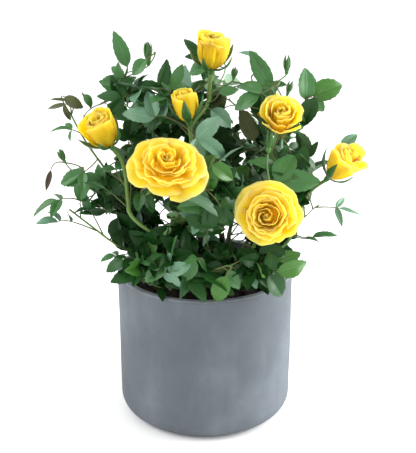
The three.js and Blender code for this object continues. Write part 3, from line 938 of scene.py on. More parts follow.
BLADE_FULL = 2.77  # brings its largest half width to about 1
BLADE_PUFF = 0.03
BLADE_RIPPLE = 0.07
BLADE_THICK = 0.012
SEPAL_WIDTH = 0.125
BACK_ANGLE, BACK_BEND = 2.0, 0.3  # of the sepals of an open flower, which lie back under it
SIDE_VEINS = 8.0  # pairs of side veins of a blade
VEIN_SLANT = 0.75  # how far along the blade a side vein runs while it crosses half of its width
SEPAL_GREENS = ((0.042, 0.130, 0.028), (0.065, 0.170, 0.045), (0.120, 0.210, 0.080))
BUDS = {
    # node it stands by, place as shares of that node's box, direction, length
    "bud_top_left": ("leaves_top_left", (0.34, 0.54, 1.08), (-0.02, -0.05, 1.0), 16 * mm),
    "bud_top_right": ("leaves_top_right", (0.65, 0.28, 1.12), (0.03, -0.05, 1.0), 12 * mm),
    "bud_front": ("leaves_right", (0.24, -0.04, 0.92), (0.12, -0.10, 1.0), 15 * mm),
    "bud_far_left": ("spray_left_middle", (0.02, 0.50, 1.10), (-0.35, -0.10, 0.9), 10 * mm),
    "bud_middle": ("leaves_top_middle", (0.62, 0.25, 0.95), (0.15, -0.1, 1.0), 9 * mm),
    "bud_back": ("leaves_back_left", (0.05, 0.95, 1.0), (-0.4, 0.3, 0.9), 12 * mm),
    "bud_back_right": ("leaves_back_right", (0.8, 0.95, 1.0), (0.3, 0.3, 0.9), 11 * mm),
}


def share_place(node, shares):
    """A place given as shares of a node's box."""
    low, high = (np.array(corner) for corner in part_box(node))
    return low + (high - low) * np.array(shares)


def mass_surface(node):
    """A mass of leaves as a search tree, with its triangles."""
    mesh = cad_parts[node].data
    mesh.calc_loop_triangles()
    index = np.empty(3 * len(mesh.loop_triangles), np.int32)
    mesh.loop_triangles.foreach_get("vertices", index)
    corners, index = mesh_corners(mesh), index.reshape(-1, 3)
    return BVHTree.FromPolygons(corners.tolist(), index.tolist()), corners[index]


masses = {n: mass_surface(n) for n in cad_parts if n.split("_")[0] in ("leaves", "spray")}


def blades(bases, ways, normals, lengths, bends, twists, folds, width, teeth=0.0):
    """Closed leaf-like blades, one for each row of the arguments.

    Along a blade u runs from 0 to 1 and its half width is u^0.60 (1-u)^0.92, scaled, with every second
    station of the edge pushed out and on as a tooth. A ring of six corners stands at each station: edge,
    upper half, midrib, upper half, edge, and the midrib's underside. The halves puff up a little, rise
    from the midrib by the fold, ripple along their edges and turn with the twist. Last, the blade bends
    down evenly: at a bend b its midrib has gone sin(bu) / b forward and (1 - cos(bu)) / b down.
    """
    u = np.linspace(0, 1, STATIONS)
    shape = BLADE_FULL * np.maximum(u, 0.004) ** BLADE_SWELL[0] * np.maximum(1 - u, 0.002) ** BLADE_SWELL[1]
    shape = shape * np.atleast_1d(width)[:, None]
    tooth = np.where(np.arange(STATIONS) % 2, 1.0, -0.6) * teeth * (u > 0) * (u < 1)
    side = np.array(BLADE_RING)
    is_edge = np.abs(side) == 1
    is_half = (np.abs(side) > 0) & ~is_edge
    is_under = np.arange(len(side)) == len(side) - 1
    across = side * shape[..., None] * (1 + is_edge * tooth[:, None])
    along = u[:, None] + is_edge * 0.35 * tooth[:, None]
    lengths, bends, twists, folds = (np.asarray(a)[:, None, None] for a in (lengths, bends, twists, folds))
    puff = BLADE_PUFF * np.sin(np.pi * u)[:, None] * is_half
    sink = -BLADE_THICK * is_under * (1.6 - u[:, None])
    ripple = BLADE_RIPPLE * np.sin(3 * np.pi * along + 9 * folds) * across
    lift = folds * np.abs(across) + puff + sink + ripple
    turn = twists * along
    across, lift = across * np.cos(turn) - lift * np.sin(turn), across * np.sin(turn) + lift * np.cos(turn)
    slope = bends * along
    forward = np.sin(slope) / bends + lift * np.sin(slope)
    lift = lift * np.cos(slope) - (1 - np.cos(slope)) / bends
    across_ways = np.cross(ways, normals)
    points = bases[:, None, None] + lengths[..., None] * (
        forward[..., None] * ways[:, None, None] + across[..., None] * across_ways[:, None, None]
        + lift[..., None] * normals[:, None, None])
    station = (STATIONS, len(side))
    pattern = np.stack([np.broadcast_to(0.5 + 0.5 * side, station),
                        np.broadcast_to(u[:, None], station)], axis=-1)
    return points, pattern


def make_blades(name, points, pattern, materials, *nodes):
    """Blades as one piece: four strips of upper face and two of under face between stations, and two
    faces at each end."""
    count, ring = len(points), len(BLADE_RING)
    under = np.append(np.tile([0, 0, 0, 0, 1, 1], STATIONS - 1), [1, 1, 1, 1])
    faces = many_of(capped_tube(STATIONS, ring)[:, ::-1], ring * STATIONS, count)
    pairs = np.broadcast_to(pattern, (count, *pattern.shape))
    piece = make_piece(name, points, faces, materials, np.tile(under, (count, 1)),
                       {"OFBake": stacked_map(pairs, np.zeros(pairs.shape[:-1], int), 1), "leaf": pairs})
    piece.data.set_sharp_from_angle(angle=math.radians(50))
    place_piece(piece, "leaf", *nodes)


def leaf_material(tone, face, colours, shine):
    """Waxy green with a pale midrib and side veins that slant to the tip, sunk a little into the blade;
    some light comes through."""
    blade, vein, under = colours
    m = Nodes(f"{tone}_{face}")
    places = m.coordinate("leaf")
    place = m.parts(places)
    off_middle = m.math("ABSOLUTE", m.math("SUBTRACT", place["X"], 0.5))
    slant = m.math("SUBTRACT", place["Y"], m.math("MULTIPLY", off_middle, VEIN_SLANT))
    wave = m.math("PINGPONG", m.math("MULTIPLY", slant, SIDE_VEINS), 0.5)
    side_veins = m.ramp(wave, (0.0, 1.0), (0.13, 0.0))
    midrib = m.ramp(off_middle, (0.012, 1.0), (0.04, 0.0))
    veins = m.math("MAXIMUM", m.math("MULTIPLY", side_veins, 0.45), midrib)
    mottle = m.noise(places, 5.0, 3.0)
    main, other = (blade, vein) if face == "top" else (under, vein)
    shaded = m.mix(m.ramp(mottle, (0.35, 0.0), (0.7, 0.45)), main,
                   tuple(lerp(np.array(main), np.array(other), 0.5)))
    colour = m.mix(m.math("MULTIPLY", veins, 0.75), shaded, other)
    m.link(colour, m.shader.inputs["Base Color"])
    relief = m.math("ADD", m.math("MULTIPLY", veins, -1.0), m.math("MULTIPLY", mottle, 0.6))
    m.bump(relief, 0.30 * mm if face == "top" else -0.30 * mm, 0.4)
    socket_values(m.shader, Roughness=0.34 if face == "top" else 0.65, Specular_IOR_Level=shine)
    let_light_through(m, colour, 0.2)
    return m.material


def grow_twig(wood, end, random, end_way):
    """A twig on a branch's line, swung to one side and the other between its joints: a sine of one half
    turn for each joint, times one of a half turn over its length, so that both its ends stay."""
    path, radius = branch_line(wood, end, end_way, TWIG_POINTS)
    chord = end - path[0]
    length = np.linalg.norm(chord)
    t = np.linspace(0, 1, TWIG_POINTS)[:, None]
    side = unit(np.cross(chord, random.normal(size=3)))
    path += side * TWIG_ZIGZAG * length * np.sin(t * np.pi) * np.sin(t * length / TWIG_JOINT * np.pi)
    return path, np.linspace(min(radius * 0.75, TWIG_FOOT), TWIG_TIP, TWIG_POINTS)


wood = np.vstack([wood_rows(limb_lines[n], limb_radii[n]) for n in limb_lines])
twigs = []


def add_twig(end, end_way, random):
    """Grows a twig and adds it to the wood that later twigs and leaves can start from."""
    global wood
    path, radii = grow_twig(wood, end, random, end_way)
    twigs.append((path, radii))
    wood = np.vstack([wood, wood_rows(path, radii)])


def main_twigs():
    """A twig to the middle of each mass of leaves, and to the near end of each spray, lowest first."""
    random = np.random.default_rng(2)
    for name in sorted(masses, key=lambda m: masses[m][1].mean((0, 1))[2]):
        corners = masses[name][1].reshape(-1, 3)
        centre = corners.mean(0)
        near = corners[np.linalg.norm(corners - CROWN_CENTRE, axis=1).argmin()]
        end = lerp(near, centre, 0.35 if name.startswith("spray") else 1.0)
        add_twig(end, unit(unit(centre - CROWN_CENTRE) + 0.5 * UP), random)


def whorl(base, way, radius, length, turn, open_wide, closing=0.06):
    """Five sepals from the top of a hip, bent up round a cup of that radius, or back under an open
    flower. A blade that leaves at an angle and bends back by as much ends at (1 - cos) / angle of its
    length from the axis, which gives the angle."""
    angles = np.linspace(0.2, 1.9, 40)
    leave = np.interp(radius / length, (1 - np.cos(angles)) / angles, angles)
    leave, bend = (BACK_ANGLE, BACK_BEND) if open_wide else (leave, leave + closing)
    sides = turn_to(way)
    round_axis = turn + 2 * np.pi * np.arange(5)[:, None] / 5
    radial = np.cos(round_axis) * sides[:, 0] + np.sin(round_axis) * sides[:, 1]
    ways = math.cos(leave) * way + math.sin(leave) * radial
    normals = math.cos(leave) * radial - math.sin(leave) * way
    return base + radial * 0.7 * HIP_RADIUS, ways, normals, np.full(5, length), np.full(5, bend)


def green_parts():
    """Hips under the flowers, closed buds on new twigs, and the sepals of both. A hip and a bud are tubes
    whose radii are read off their shapes."""
    random = np.random.default_rng(14)
    lines, radii, sepals = [], [], []
    u = np.linspace(0, 1, 9)
    for name, (openness, _, _, turn, *_) in FLOWERS.items():
        base, way, radius, depth = heads[name]
        tall = cup_foot(openness, depth) + 2.5 * mm
        lines.append(base + way * (u[:, None] * tall - 1.5 * mm))
        radii.append(np.interp(u, *HIP_SHAPE) * HIP_RADIUS)
        length = min(lerp(0.95, 0.70, openness) * depth, 25 * mm)
        round_cup = lerp(1.2, 0.45, openness) * radius
        sepals.append(whorl(base + way * 0.1 * depth, way, round_cup, length, turn, openness > 0.7))
    for node, shares, way, length in BUDS.values():
        base, way = share_place(node, shares), unit(np.array(way))
        add_twig(base, way, random)
        lines.append(base + way * u[:, None] * length)
        radii.append(np.interp(u, *BUD_SHAPE) * length / BUD_SLIMNESS)
        sepals.append(whorl(base + way * 0.27 * length, way, 0.2 * length, 0.95 * length,
                            random.uniform(0, 6), False, 0.45))
    colours = [leaf_material("sepal", face, SEPAL_GREENS, 0.4) for face in ("top", "under")]
    hip_green = mottled("hip_green", *SEPAL_GREENS[:2], 250.0, 0.5)
    hips = tubes(np.array(lines), np.array(radii), HIP_SIDES)
    place_piece(make_piece("hips_and_buds", *hips, [hip_green]), "leaf")
    bases, ways, normals, lengths, bends = (np.concatenate(part) for part in zip(*sepals))
    count = len(bases)
    points, pattern = blades(bases, ways, normals, lengths * random.uniform(0.9, 1.1, count),
                             bends * random.uniform(0.85, 1.05, count), random.normal(0, 0.15, count),
                             random.uniform(-0.5, -0.2, count), SEPAL_WIDTH)
    make_blades("sepals", points, pattern, colours)


main_twigs()
green_parts()


# ---------------------------------------------------------------- leaves
# A rose leaf is a thin stalk with five leaflets, or three, in pairs and one at its end. Each leaflet is
# oval, pointed and finely toothed, folded a little along its middle, dark and glossy above, paler below.
LEAFLET_WIDTH = 0.265  # half of its width, as a share of its length
LEAFLET_TEETH = 0.035
LEAF_SPACING = (14.5 * mm, 20 * mm)  # between the tips of leaves, at the rim and at the top
INNER_SPACING = (13.5 * mm, 18 * mm)
INNER_DEPTHS = (8 * mm, 34 * mm)  # how far under a mass's surface the inner tips lie
TIP_EVERY = 5 * mm  # a mass offers one place for a tip for each square of this side
FEWEST_TIPS = 12
CROWN_RISE = 0.17
LEAF_LENGTH = 52 * mm  # from the wood to the tip
LONGEST_REACH = 20 * mm  # further from the wood than this, an outer leaf gets a twig
LENGTH_ODDS = (0.75, 1.15)
LENGTH_LIMITS = (0.6, 1.2)  # how much shorter and longer than meant a leaf may be
# What wood costs a leaf beyond the length that it is off by
TURN_BACK_COST, INWARD_COST, CROWDED_COST, CHANCE_COST = 12 * mm, 25 * mm, 5 * mm, 4 * mm
DEAR_WOOD = 18 * mm  # wood that costs more than this isn't used, and a twig grows in its place
STALK_SHARE = 0.58  # how much of the way to the tip is stalk
STALK_RADII = (0.6 * mm, 0.36 * mm)
STALK_SIDES = 6
STALK_POINTS = 9
PAIR_EVERY = 3  # points of the stalk between one pair of leaflets and the next
PAIR_FORWARD = 0.55  # how far the leaflets of a pair lean towards the leaf's tip
PAIR_SIZES = (0.88, 0.16)  # size of the first pair, and how much smaller the next is
BACK_OF_CROWN = 25 * mm  # behind this, leaves don't turn to the light of the front
TWIG_GREENS = ((0.080, 0.065, 0.030), (0.070, 0.120, 0.035), (0.090, 0.180, 0.050))
STALK_GREENS = ((0.060, 0.125, 0.030), (0.130, 0.110, 0.045))
TONES = {
    # upper face, its veins, under face, and how much the waxy skin shines
    # The darkest tone is painted shade, for the leaves low in the crown just above the pot
    "old_and_shaded": ((0.007, 0.040, 0.006), (0.020, 0.075, 0.017), (0.030, 0.080, 0.026), 0.12),
    # The deep tone is partly the leaves' own darker green and partly painted shade, inside the crown and
    # low down
    "deep": ((0.015, 0.076, 0.014), (0.042, 0.138, 0.034), (0.062, 0.140, 0.050), 0.30),
    "mid": ((0.048, 0.166, 0.042), (0.092, 0.248, 0.076), (0.114, 0.222, 0.090), 0.45),
    # This paler, bluer green is a painted sheen of light on the waxy skin, dealt out more high in the crown
    "painted_sheen": ((0.120, 0.265, 0.155), (0.195, 0.375, 0.235), (0.205, 0.350, 0.220), 0.5),
    "bright": ((0.046, 0.158, 0.020), (0.105, 0.270, 0.048), (0.125, 0.240, 0.065), 0.4),
    "young": ((0.080, 0.105, 0.038), (0.140, 0.165, 0.065), (0.150, 0.125, 0.065), 0.4),
    "dry": ((0.085, 0.065, 0.045), (0.130, 0.105, 0.075), (0.150, 0.120, 0.085), 0.2),
}
OLD_AND_SHADED_LEAVES = 0.32  # how far up the crown the darkest leaves go; their near-black green is painted shade
LIGHT_WAY = np.array((0.05, -0.9, 0.4))  # the leaves of the front half turn a little this way
OUTER_LEAVES = (
    # node it stands out of, place of its tip as shares of that node's box, direction of its end leaflet,
    # length and relative width of that, pairs of leaflets below it, how much it faces the front and not
    # the sky, tone
    # Of the tones, the darkest and the deep one paint shade, and the pale bluish one paints sheen
    ("spray_top_left", (0.10, 0.50, 0.98), (-0.29, 0.0, 0.96), 29 * mm, 0.72, 0, 0.9, "mid"),
    ("spray_upper_left", (0.60, 0.50, 0.95), (-0.25, -0.1, 0.96), 17 * mm, 1.0, 1, 0.9, "mid"),
    ("spray_upper_left", (0.15, 0.40, 0.35), (-0.95, -0.1, -0.20), 16 * mm, 1.0, 1, 0.8, "mid"),
    ("spray_upper_left", (1.05, 0.30, 0.66), (0.64, 0.0, 0.77), 18 * mm, 1.0, 1, 0.9, "deep"),
    ("leaves_top_left", (0.56, 0.30, 1.26), (0.26, 0.0, 0.96), 22 * mm, 1.0, 0, 0.9, "deep"),
    ("leaves_top_left", (0.73, 0.30, 1.16), (0.50, 0.0, 0.85), 18 * mm, 1.0, 1, 0.8, "mid"),
    ("leaves_top_left", (0.45, 0.02, 0.41), (-0.57, 0.0, -0.82), 20 * mm, 1.0, 1, 0.9, "mid"),
    ("leaves_top_left", (0.15, 0.60, 0.04), (0.85, 0.0, -0.52), 22 * mm, 1.2, 0, 0.9, "mid"),
    ("leaves_top_left", (0.17, 0.20, 1.01), (-0.71, 0.0, -0.71), 16 * mm, 1.1, 0, 0.9, "mid"),
    ("leaves_top_left", (-0.24, 0.30, 0.62), (-0.99, 0.0, 0.12), 20 * mm, 1.0, 1, 0.8, "deep"),
    ("leaves_top_middle", (0.36, 0.05, -0.42), (0.25, 0.0, -0.97), 24 * mm, 1.0, 1, 0.9, "deep"),
    ("leaves_top_middle", (0.62, 0.05, 0.04), (0.77, 0.0, -0.64), 22 * mm, 1.0, 1, 0.9, "painted_sheen"),
    ("leaves_top_middle", (-0.01, 1.30, 0.71), (-0.96, 0.0, -0.27), 18 * mm, 1.2, 1, 0.9, "mid"),
    ("leaves_top_middle", (0.55, 0.10, 1.25), (0.30, 0.0, 0.90), 18 * mm, 1.0, 1, 0.8, "mid"),
    ("leaves_middle", (0.05, 0.10, 0.27), (0.68, 0.0, -0.73), 18 * mm, 1.1, 1, 0.8, "deep"),
    ("leaves_middle", (0.76, 0.10, 0.07), (0.43, 0.0, -0.90), 18 * mm, 1.1, 1, 0.8, "deep"),
    ("spray_top_right", (0.38, 0.30, 0.84), (-0.45, 0.0, 0.89), 33 * mm, 0.82, 0, 0.9, "mid"),
    ("spray_top_right", (-0.08, 0.90, 0.80), (-0.85, 0.0, 0.30), 17 * mm, 1.0, 0, 0.8, "painted_sheen"),
    ("leaves_top_right", (-0.12, 0.10, 0.63), (-0.88, 0.0, -0.47), 22 * mm, 1.0, 1, 0.9, "mid"),
    ("leaves_top_right", (0.03, 0.50, 0.50), (-0.34, 0.0, 0.94), 28 * mm, 0.95, 0, 0.8, "young"),
    ("spray_right_high", (0.24, 0.40, 1.22), (0.15, 0.0, 0.99), 25 * mm, 1.25, 0, 0.9, "mid"),
    ("spray_right_high", (1.05, 0.50, 0.74), (0.92, 0.0, 0.36), 26 * mm, 1.2, 0, 0.9, "bright"),
    ("spray_right_high", (0.63, 0.40, -0.12), (0.68, 0.0, -0.73), 16 * mm, 1.1, 0, 0.9, "mid"),
    ("spray_right_high", (0.02, 0.30, -0.55), (-0.42, 0.0, -0.91), 26 * mm, 1.0, 0, 0.9, "deep"),
    ("spray_left_high", (-0.09, 0.40, 0.60), (-0.95, 0.0, -0.20), 14 * mm, 0.5, 0, 0.7, "young"),
    ("spray_left_high", (0.00, 0.40, 1.05), (-0.97, 0.0, 0.22), 14 * mm, 0.45, 0, 0.5, "young"),
    ("spray_left_high", (0.80, 0.40, 0.56), (0.84, 0.0, -0.54), 17 * mm, 1.0, 0, 0.9, "young"),
    ("spray_left_high", (1.06, 0.40, 0.60), (0.61, 0.0, -0.79), 13 * mm, 1.0, 0, 0.9, "mid"),
    ("spray_left_high", (0.47, 0.40, -0.07), (0.34, 0.0, -0.94), 15 * mm, 0.55, 0, 0.9, "young"),
    ("spray_left_outer", (-0.03, 0.40, 0.90), (-0.99, 0.0, 0.12), 15 * mm, 0.8, 1, 0.3, "mid"),
    ("spray_left_outer", (-0.18, 0.40, -2.24), (-0.26, 0.0, -0.97), 18 * mm, 0.45, 0, 0.6, "dry"),
    ("spray_left_middle", (0.35, 0.40, 0.01), (-0.25, 0.0, -0.97), 23 * mm, 1.0, 1, 0.8, "mid"),
    ("spray_left_middle", (-0.09, 0.40, 0.50), (-0.84, 0.0, -0.54), 17 * mm, 1.0, 1, 0.6, "mid"),
    ("spray_left_low", (0.02, 0.50, 0.33), (-0.91, 0.0, -0.42), 24 * mm, 0.7, 1, 0.2, "mid"),
    ("spray_right_low", (1.01, 0.50, 0.75), (0.98, 0.0, -0.17), 21 * mm, 0.60, 1, 0.15, "painted_sheen"),
    ("spray_right_low", (0.60, 0.50, -0.05), (0.96, 0.0, 0.28), 20 * mm, 0.55, 0, 0.15, "mid"),
    ("spray_right_low", (0.34, 0.50, -0.50), (1.0, 0.0, -0.08), 12 * mm, 0.9, 0, 0.2, "mid"),
    ("leaves_right", (0.91, 0.10, 0.51), (1.0, 0.0, 0.05), 32 * mm, 1.0, 1, 0.8, "mid"),
    ("leaves_right", (0.85, 0.15, 0.86), (0.87, 0.0, -0.49), 22 * mm, 1.0, 1, 0.8, "mid"),
    ("leaves_right", (-0.18, 0.10, 0.80), (0.86, 0.0, -0.50), 28 * mm, 1.0, 1, 0.9, "painted_sheen"),
    ("leaves_middle", (0.66, 0.04, 0.32), (0.94, 0.0, -0.33), 30 * mm, 1.0, 0, 0.6, "painted_sheen"),
    ("leaves_middle", (0.54, 0.10, 0.46), (-0.07, 0.0, -1.0), 22 * mm, 1.0, 1, 0.9, "bright"),
    ("spray_left_rim", (-0.01, 0.40, 0.50), (-0.83, 0.0, -0.55), 18 * mm, 1.0, 1, 0.6, "deep"),
    ("spray_left_rim", (0.54, 0.40, 0.03), (-0.28, 0.0, -0.96), 19 * mm, 1.0, 0, 0.8, "bright"),
    ("leaves_low_middle", (-0.68, 0.30, 0.03), (-0.75, 0.0, -0.66), 18 * mm, 1.0, 1, 0.5, "deep"),
    ("leaves_low_middle", (0.02, 0.20, -0.06), (0.95, 0.0, -0.30), 16 * mm, 0.8, 1, 0.3, "old_and_shaded"),
    ("leaves_low_middle", (-1.03, 0.30, 0.12), (-0.77, 0.0, -0.64), 19 * mm, 1.0, 1, 0.6, "deep"),
    ("spray_front", (0.01, 0.50, 0.58), (-0.50, 0.0, -0.87), 22 * mm, 1.0, 1, 0.8, "mid"),
    ("spray_front", (0.60, 0.30, 0.03), (-0.42, 0.0, -0.91), 26 * mm, 1.0, 0, 0.9, "bright"),
    ("spray_front", (1.14, 0.40, 0.47), (0.53, 0.0, -0.85), 18 * mm, 1.0, 0, 0.8, "mid"),
    ("spray_front_right", (1.06, 0.40, 0.96), (0.98, 0.0, 0.18), 26 * mm, 1.0, 0, 0.9, "bright"),
    ("spray_front_right", (0.10, 0.40, 1.50), (0.18, 0.0, 0.98), 20 * mm, 1.1, 0, 0.9, "deep"),
    ("spray_front_right", (0.46, 0.40, -0.16), (0.59, 0.0, -0.81), 27 * mm, 1.0, 0, 0.9, "deep"),
    ("flower_top", (-0.34, 1.30, 0.72), (-0.72, 0.0, 0.69), 17 * mm, 0.8, 1, 0.9, "deep"),
    ("flower_back_open", (0.22, -1.2, 1.18), (0.16, 0.0, 0.99), 22 * mm, 1.0, 1, 0.9, "deep"),
    ("flower_back_open", (1.03, -1.0, 0.90), (0.52, 0.0, 0.85), 20 * mm, 1.1, 0, 0.9, "deep"),
    ("flower_back_open", (0.44, -1.0, 1.39), (0.34, 0.0, 0.94), 20 * mm, 1.1, 0, 0.9, "mid"),
    ("flower_back_open", (0.28, -1.0, 0.50), (-0.20, 0.0, -0.98), 19 * mm, 1.2, 0, 0.9, "deep"),
    ("flower_back_open", (0.77, -1.0, 0.55), (0.32, 0.0, -0.95), 18 * mm, 1.2, 0, 0.9, "deep"),
    ("flower_back_cup", (0.01, -1.0, 0.60), (-0.31, 0.0, -0.95), 19 * mm, 1.2, 0, 0.9, "deep"),
    ("flower_back_low", (0.91, -1.0, 0.55), (0.39, 0.0, -0.92), 18 * mm, 1.2, 0, 0.9, "deep"),
    ("flower_back_cup", (0.63, -1.0, 1.51), (0.49, 0.0, 0.87), 19 * mm, 1.1, 0, 0.9, "deep"),
    ("flower_back_low", (0.61, -1.6, 1.74), (0.17, 0.0, 0.99), 22 * mm, 1.3, 1, 0.9, "deep"),
    ("flower_far_right", (0.95, 1.30, 1.02), (0.80, 0.1, 0.55), 16 * mm, 1.0, 0, 0.9, "painted_sheen"),
    ("leaves_left", (-0.06, 0.30, 0.90), (-0.93, 0.0, -0.36), 15 * mm, 1.0, 1, 0.7, "mid"),
    ("leaves_low_left", (0.06, 0.30, -0.18), (-0.98, 0.0, -0.20), 14 * mm, 0.8, 1, 0.4, "mid"),
)
HABITS = {
    # most other leaves, leaflet size, how far the blades face the light, up and outwards, usual tone
    # The usual pale bluish tone of some of these sprays is a painted sheen
    "spray_left_low": (1, 0.80, (0.1, 1.0, 0.1), "painted_sheen"),
    "spray_left_middle": (2, 0.85, (0.4, 0.7, 0.2), "mid"),
    "spray_left_high": (0, 0.75, (0.5, 0.5, 0.2), "young"),
    "spray_left_outer": (0, 0.80, (0.1, 0.9, 0.2), "painted_sheen"),
    "spray_upper_left": (2, 0.90, (0.6, 0.4, 0.2), "mid"),
    "spray_top_left": (0, 1.15, (0.9, 0.1, 0.1), "mid"),
    "spray_top_right": (0, 1.15, (0.9, 0.1, 0.1), "mid"),
    "spray_right_high": (0, 1.00, (0.9, 0.5, 0.2), "mid"),
    "spray_right_low": (0, 0.65, (0.1, 1.0, 0.1), "painted_sheen"),
    "spray_front_right": (0, 1.10, (0.6, 0.6, 0.4), "mid"),
    # The deep tone of these low sprays partly paints the shade under the crown
    "spray_front": (3, 1.00, (0.5, 0.7, 0.4), "deep"),
    "spray_left_rim": (2, 0.85, (0.3, 0.8, 0.3), "deep"),
}
USUAL_HABIT = (99, 1.0, (0.40, 0.45, 0.50), None)
FAR_OUTSIDE = 50 * mm  # a place this far from a mass's surface can't be inside it
STRAY = 7 * mm  # how far a leaflet may stand out of the masses
BARE_LENGTH = 52 * mm  # of each flower's stalk, from the flower down, with no leaves round it
BARE_ROUND = 7 * mm
CLEAR_AHEAD = 35 * mm  # how far in front of a flower's face no leaf stands
CLEAR_ROUND = 3 * mm
POT_GAP = 1.5 * mm  # between a leaf and the pot's rim or the soil
WINDOWS = (
    # where sky shows through the crown from the front: node it is in, shares of that node's box, radius
    ("leaves_top_middle", (0.72, 0.5, 1.02), 7 * mm),
    ("leaves_top_middle", (0.64, 0.5, 0.37), 8 * mm),
    ("leaves_top_left", (0.09, 0.5, -0.12), 7 * mm),
    ("leaves_left", (0.28, 0.5, 0.74), 6 * mm),
    ("leaves_low_left", (0.14, 0.5, 0.59), 6 * mm),
)
window_places = np.array([share_place(node, shares) for node, shares, _ in WINDOWS])
window_ways = unit(window_places - np.array(CAMERA_PLACE))
window_radii = np.array([radius for _, _, radius in WINDOWS])
bare_stalks = np.vstack([limb_lines[f"stalk_{n}"][-int(BARE_LENGTH / LIMB_STEP):] for n in FLOWERS])


def hides_flower(points):
    """Which points are close to the bare upper part of a flower's stalk, or in a round space that holds
    the flower and goes on in front of its face."""
    hidden = np.linalg.norm(points[:, None] - bare_stalks, axis=-1).min(1) < BARE_ROUND
    for base, way, radius, depth in heads.values():
        along = (points - base) @ way
        off = np.linalg.norm(points - base - along[:, None] * way, axis=1)
        hidden |= (along > 0.1 * depth) & (along < depth + CLEAR_AHEAD) & (off < radius + CLEAR_ROUND)
    return hidden


def shuts_window(points):
    """Which points are nearer than its radius to the line of sight from the front through a window."""
    off = points[:, None] - window_places
    along = (off * window_ways).sum(-1, keepdims=True)
    return (np.linalg.norm(off - along * window_ways, axis=-1) < window_radii).any(1)


def meets_pot(points):
    """Which points are in the pot's wall or just above it, or in the soil or just above it."""
    off, height = np.hypot(points[:, 0], points[:, 1]), points[:, 2]
    in_wall = (off > rim_radius - POT_WALL - 1 * mm) & (off < rim_radius + 1 * mm)
    in_wall &= height < rim_height + POT_GAP
    return in_wall | ((off <= rim_radius - POT_WALL) & (height < soil_top + POT_GAP))


def is_inside(tree, point, depth):
    """Whether a point is at least that deep inside a closed surface: a line up from it then crosses the
    surface an odd number of times."""
    at, up, past = Vector(point), Vector((0, 0, 1)), Vector((0, 0, 1e-6))
    distance = tree.find_nearest(at)[3]
    if distance < depth or distance > FAR_OUTSIDE:
        return False
    crossings = 0
    hit = tree.ray_cast(at, up)[0]
    while hit is not None:
        crossings += 1
        hit = tree.ray_cast(hit + past, up)[0]
    return crossings % 2 == 1


def strays(points):
    """Whether any of the points is further than a little way outside every mass of leaves."""
    return any(all(tree.find_nearest(Vector(point), STRAY)[3] is None and not is_inside(tree, point, 0)
                   for tree, _ in masses.values()) for point in points)


def height_share(spot):
    """How high a place is in the crown, from 0 at the pot's rim to 1 near the top."""
    return np.clip((spot[2] - rim_height) / CROWN_RISE, 0, 1)


def tip_places(random):
    """Places for the tips of leaves: first the far end of each mass, then points spread over the outside
    of all the masses together, then points under it. Each is taken only if it is far enough from those
    taken before it. Beside each are the way out of its mass, the mass's name and its layer."""
    places, ways, owners = [], [], []
    for name, (_, triangles) in masses.items():
        corners = triangles.reshape(-1, 3)
        far = corners[np.linalg.norm(corners - CROWN_CENTRE, axis=1).argmax()]
        normal = np.cross(triangles[:, 1] - triangles[:, 0], triangles[:, 2] - triangles[:, 0])
        area = np.linalg.norm(normal, axis=1) / 2
        count = max(FEWEST_TIPS, int(area.sum() / TIP_EVERY ** 2))
        pick = random.choice(len(area), count, p=area / area.sum())
        share = random.dirichlet((1, 1, 1), count)[..., None]
        places.append(np.vstack([far, (triangles[pick] * share).sum(1)]))
        ways.append(np.vstack([unit(far - CROWN_CENTRE), unit(normal[pick])]))
        owners += [name] * (count + 1)
    first = np.cumsum([0] + [len(p) for p in places])[:-1]
    places, ways, owners = np.vstack(places), np.vstack(ways), np.array(owners)
    order = np.concatenate([first, np.setdiff1d(random.permutation(len(places)), first, True)])
    inner = places - ways * random.uniform(*INNER_DEPTHS, (len(places), 1))
    kept = []
    for layer, (spots, spacing) in enumerate(((places, LEAF_SPACING), (inner, INNER_SPACING))):
        for k in order:
            spot = spots[k]
            apart = lerp(*spacing, height_share(spot))
            if any(layer == other[3] and np.linalg.norm(spot - other[0]) < apart for other in kept):
                continue
            deep = any(is_inside(masses[n][0], spot, 4 * mm) for n in masses if n != owners[k])
            if layer == 0 and deep or hides_flower(spot[None])[0] or meets_pot(spot[None])[0]:
                continue
            if layer == 1 and not is_inside(masses[owners[k]][0], spot, 3 * mm):
                continue
            if sum(other[2] == owners[k] for other in kept) >= HABITS.get(owners[k], USUAL_HABIT)[0]:
                continue
            kept.append((spot, ways[k], owners[k], layer))
    return kept


def tone_of(spot, owner, layer, random):
    """The tone of a leaf: mostly that of its spray, where it has one, and else painted shade low down: the
    darkest green just above the pot, and a deep green, partly the leaves' own, inside and low down. High up
    it is a paler, bluer green that paints sheen, and here and there it is bright or reddish."""
    height = height_share(spot)
    usual = HABITS.get(owner, USUAL_HABIT)[3]
    chance = random.random()
    # Low in the crown and inside it, the darkest and deep greens paint the shade there
    if height < OLD_AND_SHADED_LEAVES and not usual and chance > 0.1:
        return "old_and_shaded"
    if layer == 1:
        return "deep" if chance > 0.9 * height - 0.1 else "mid"
    if usual and chance < 0.75:
        return usual
    if chance < 0.04 * (height > 0.5):
        return "young"
    if chance < 0.05:
        return "bright"
    # The paler, bluer green paints sheen, more of it higher up
    if chance < 0.07 + 0.40 * height:
        return "painted_sheen"
    return "deep" if chance > 0.12 + 0.95 * height else "mid"


def stalk_line(foot, control, end):
    """A leaf's stalk: the quadratic curve (1 - t)^2 foot + 2 t (1 - t) control + t^2 end."""
    t = np.linspace(0, 1, STALK_POINTS)[:, None]
    return (1 - t) ** 2 * foot + 2 * t * (1 - t) * control + t ** 2 * end


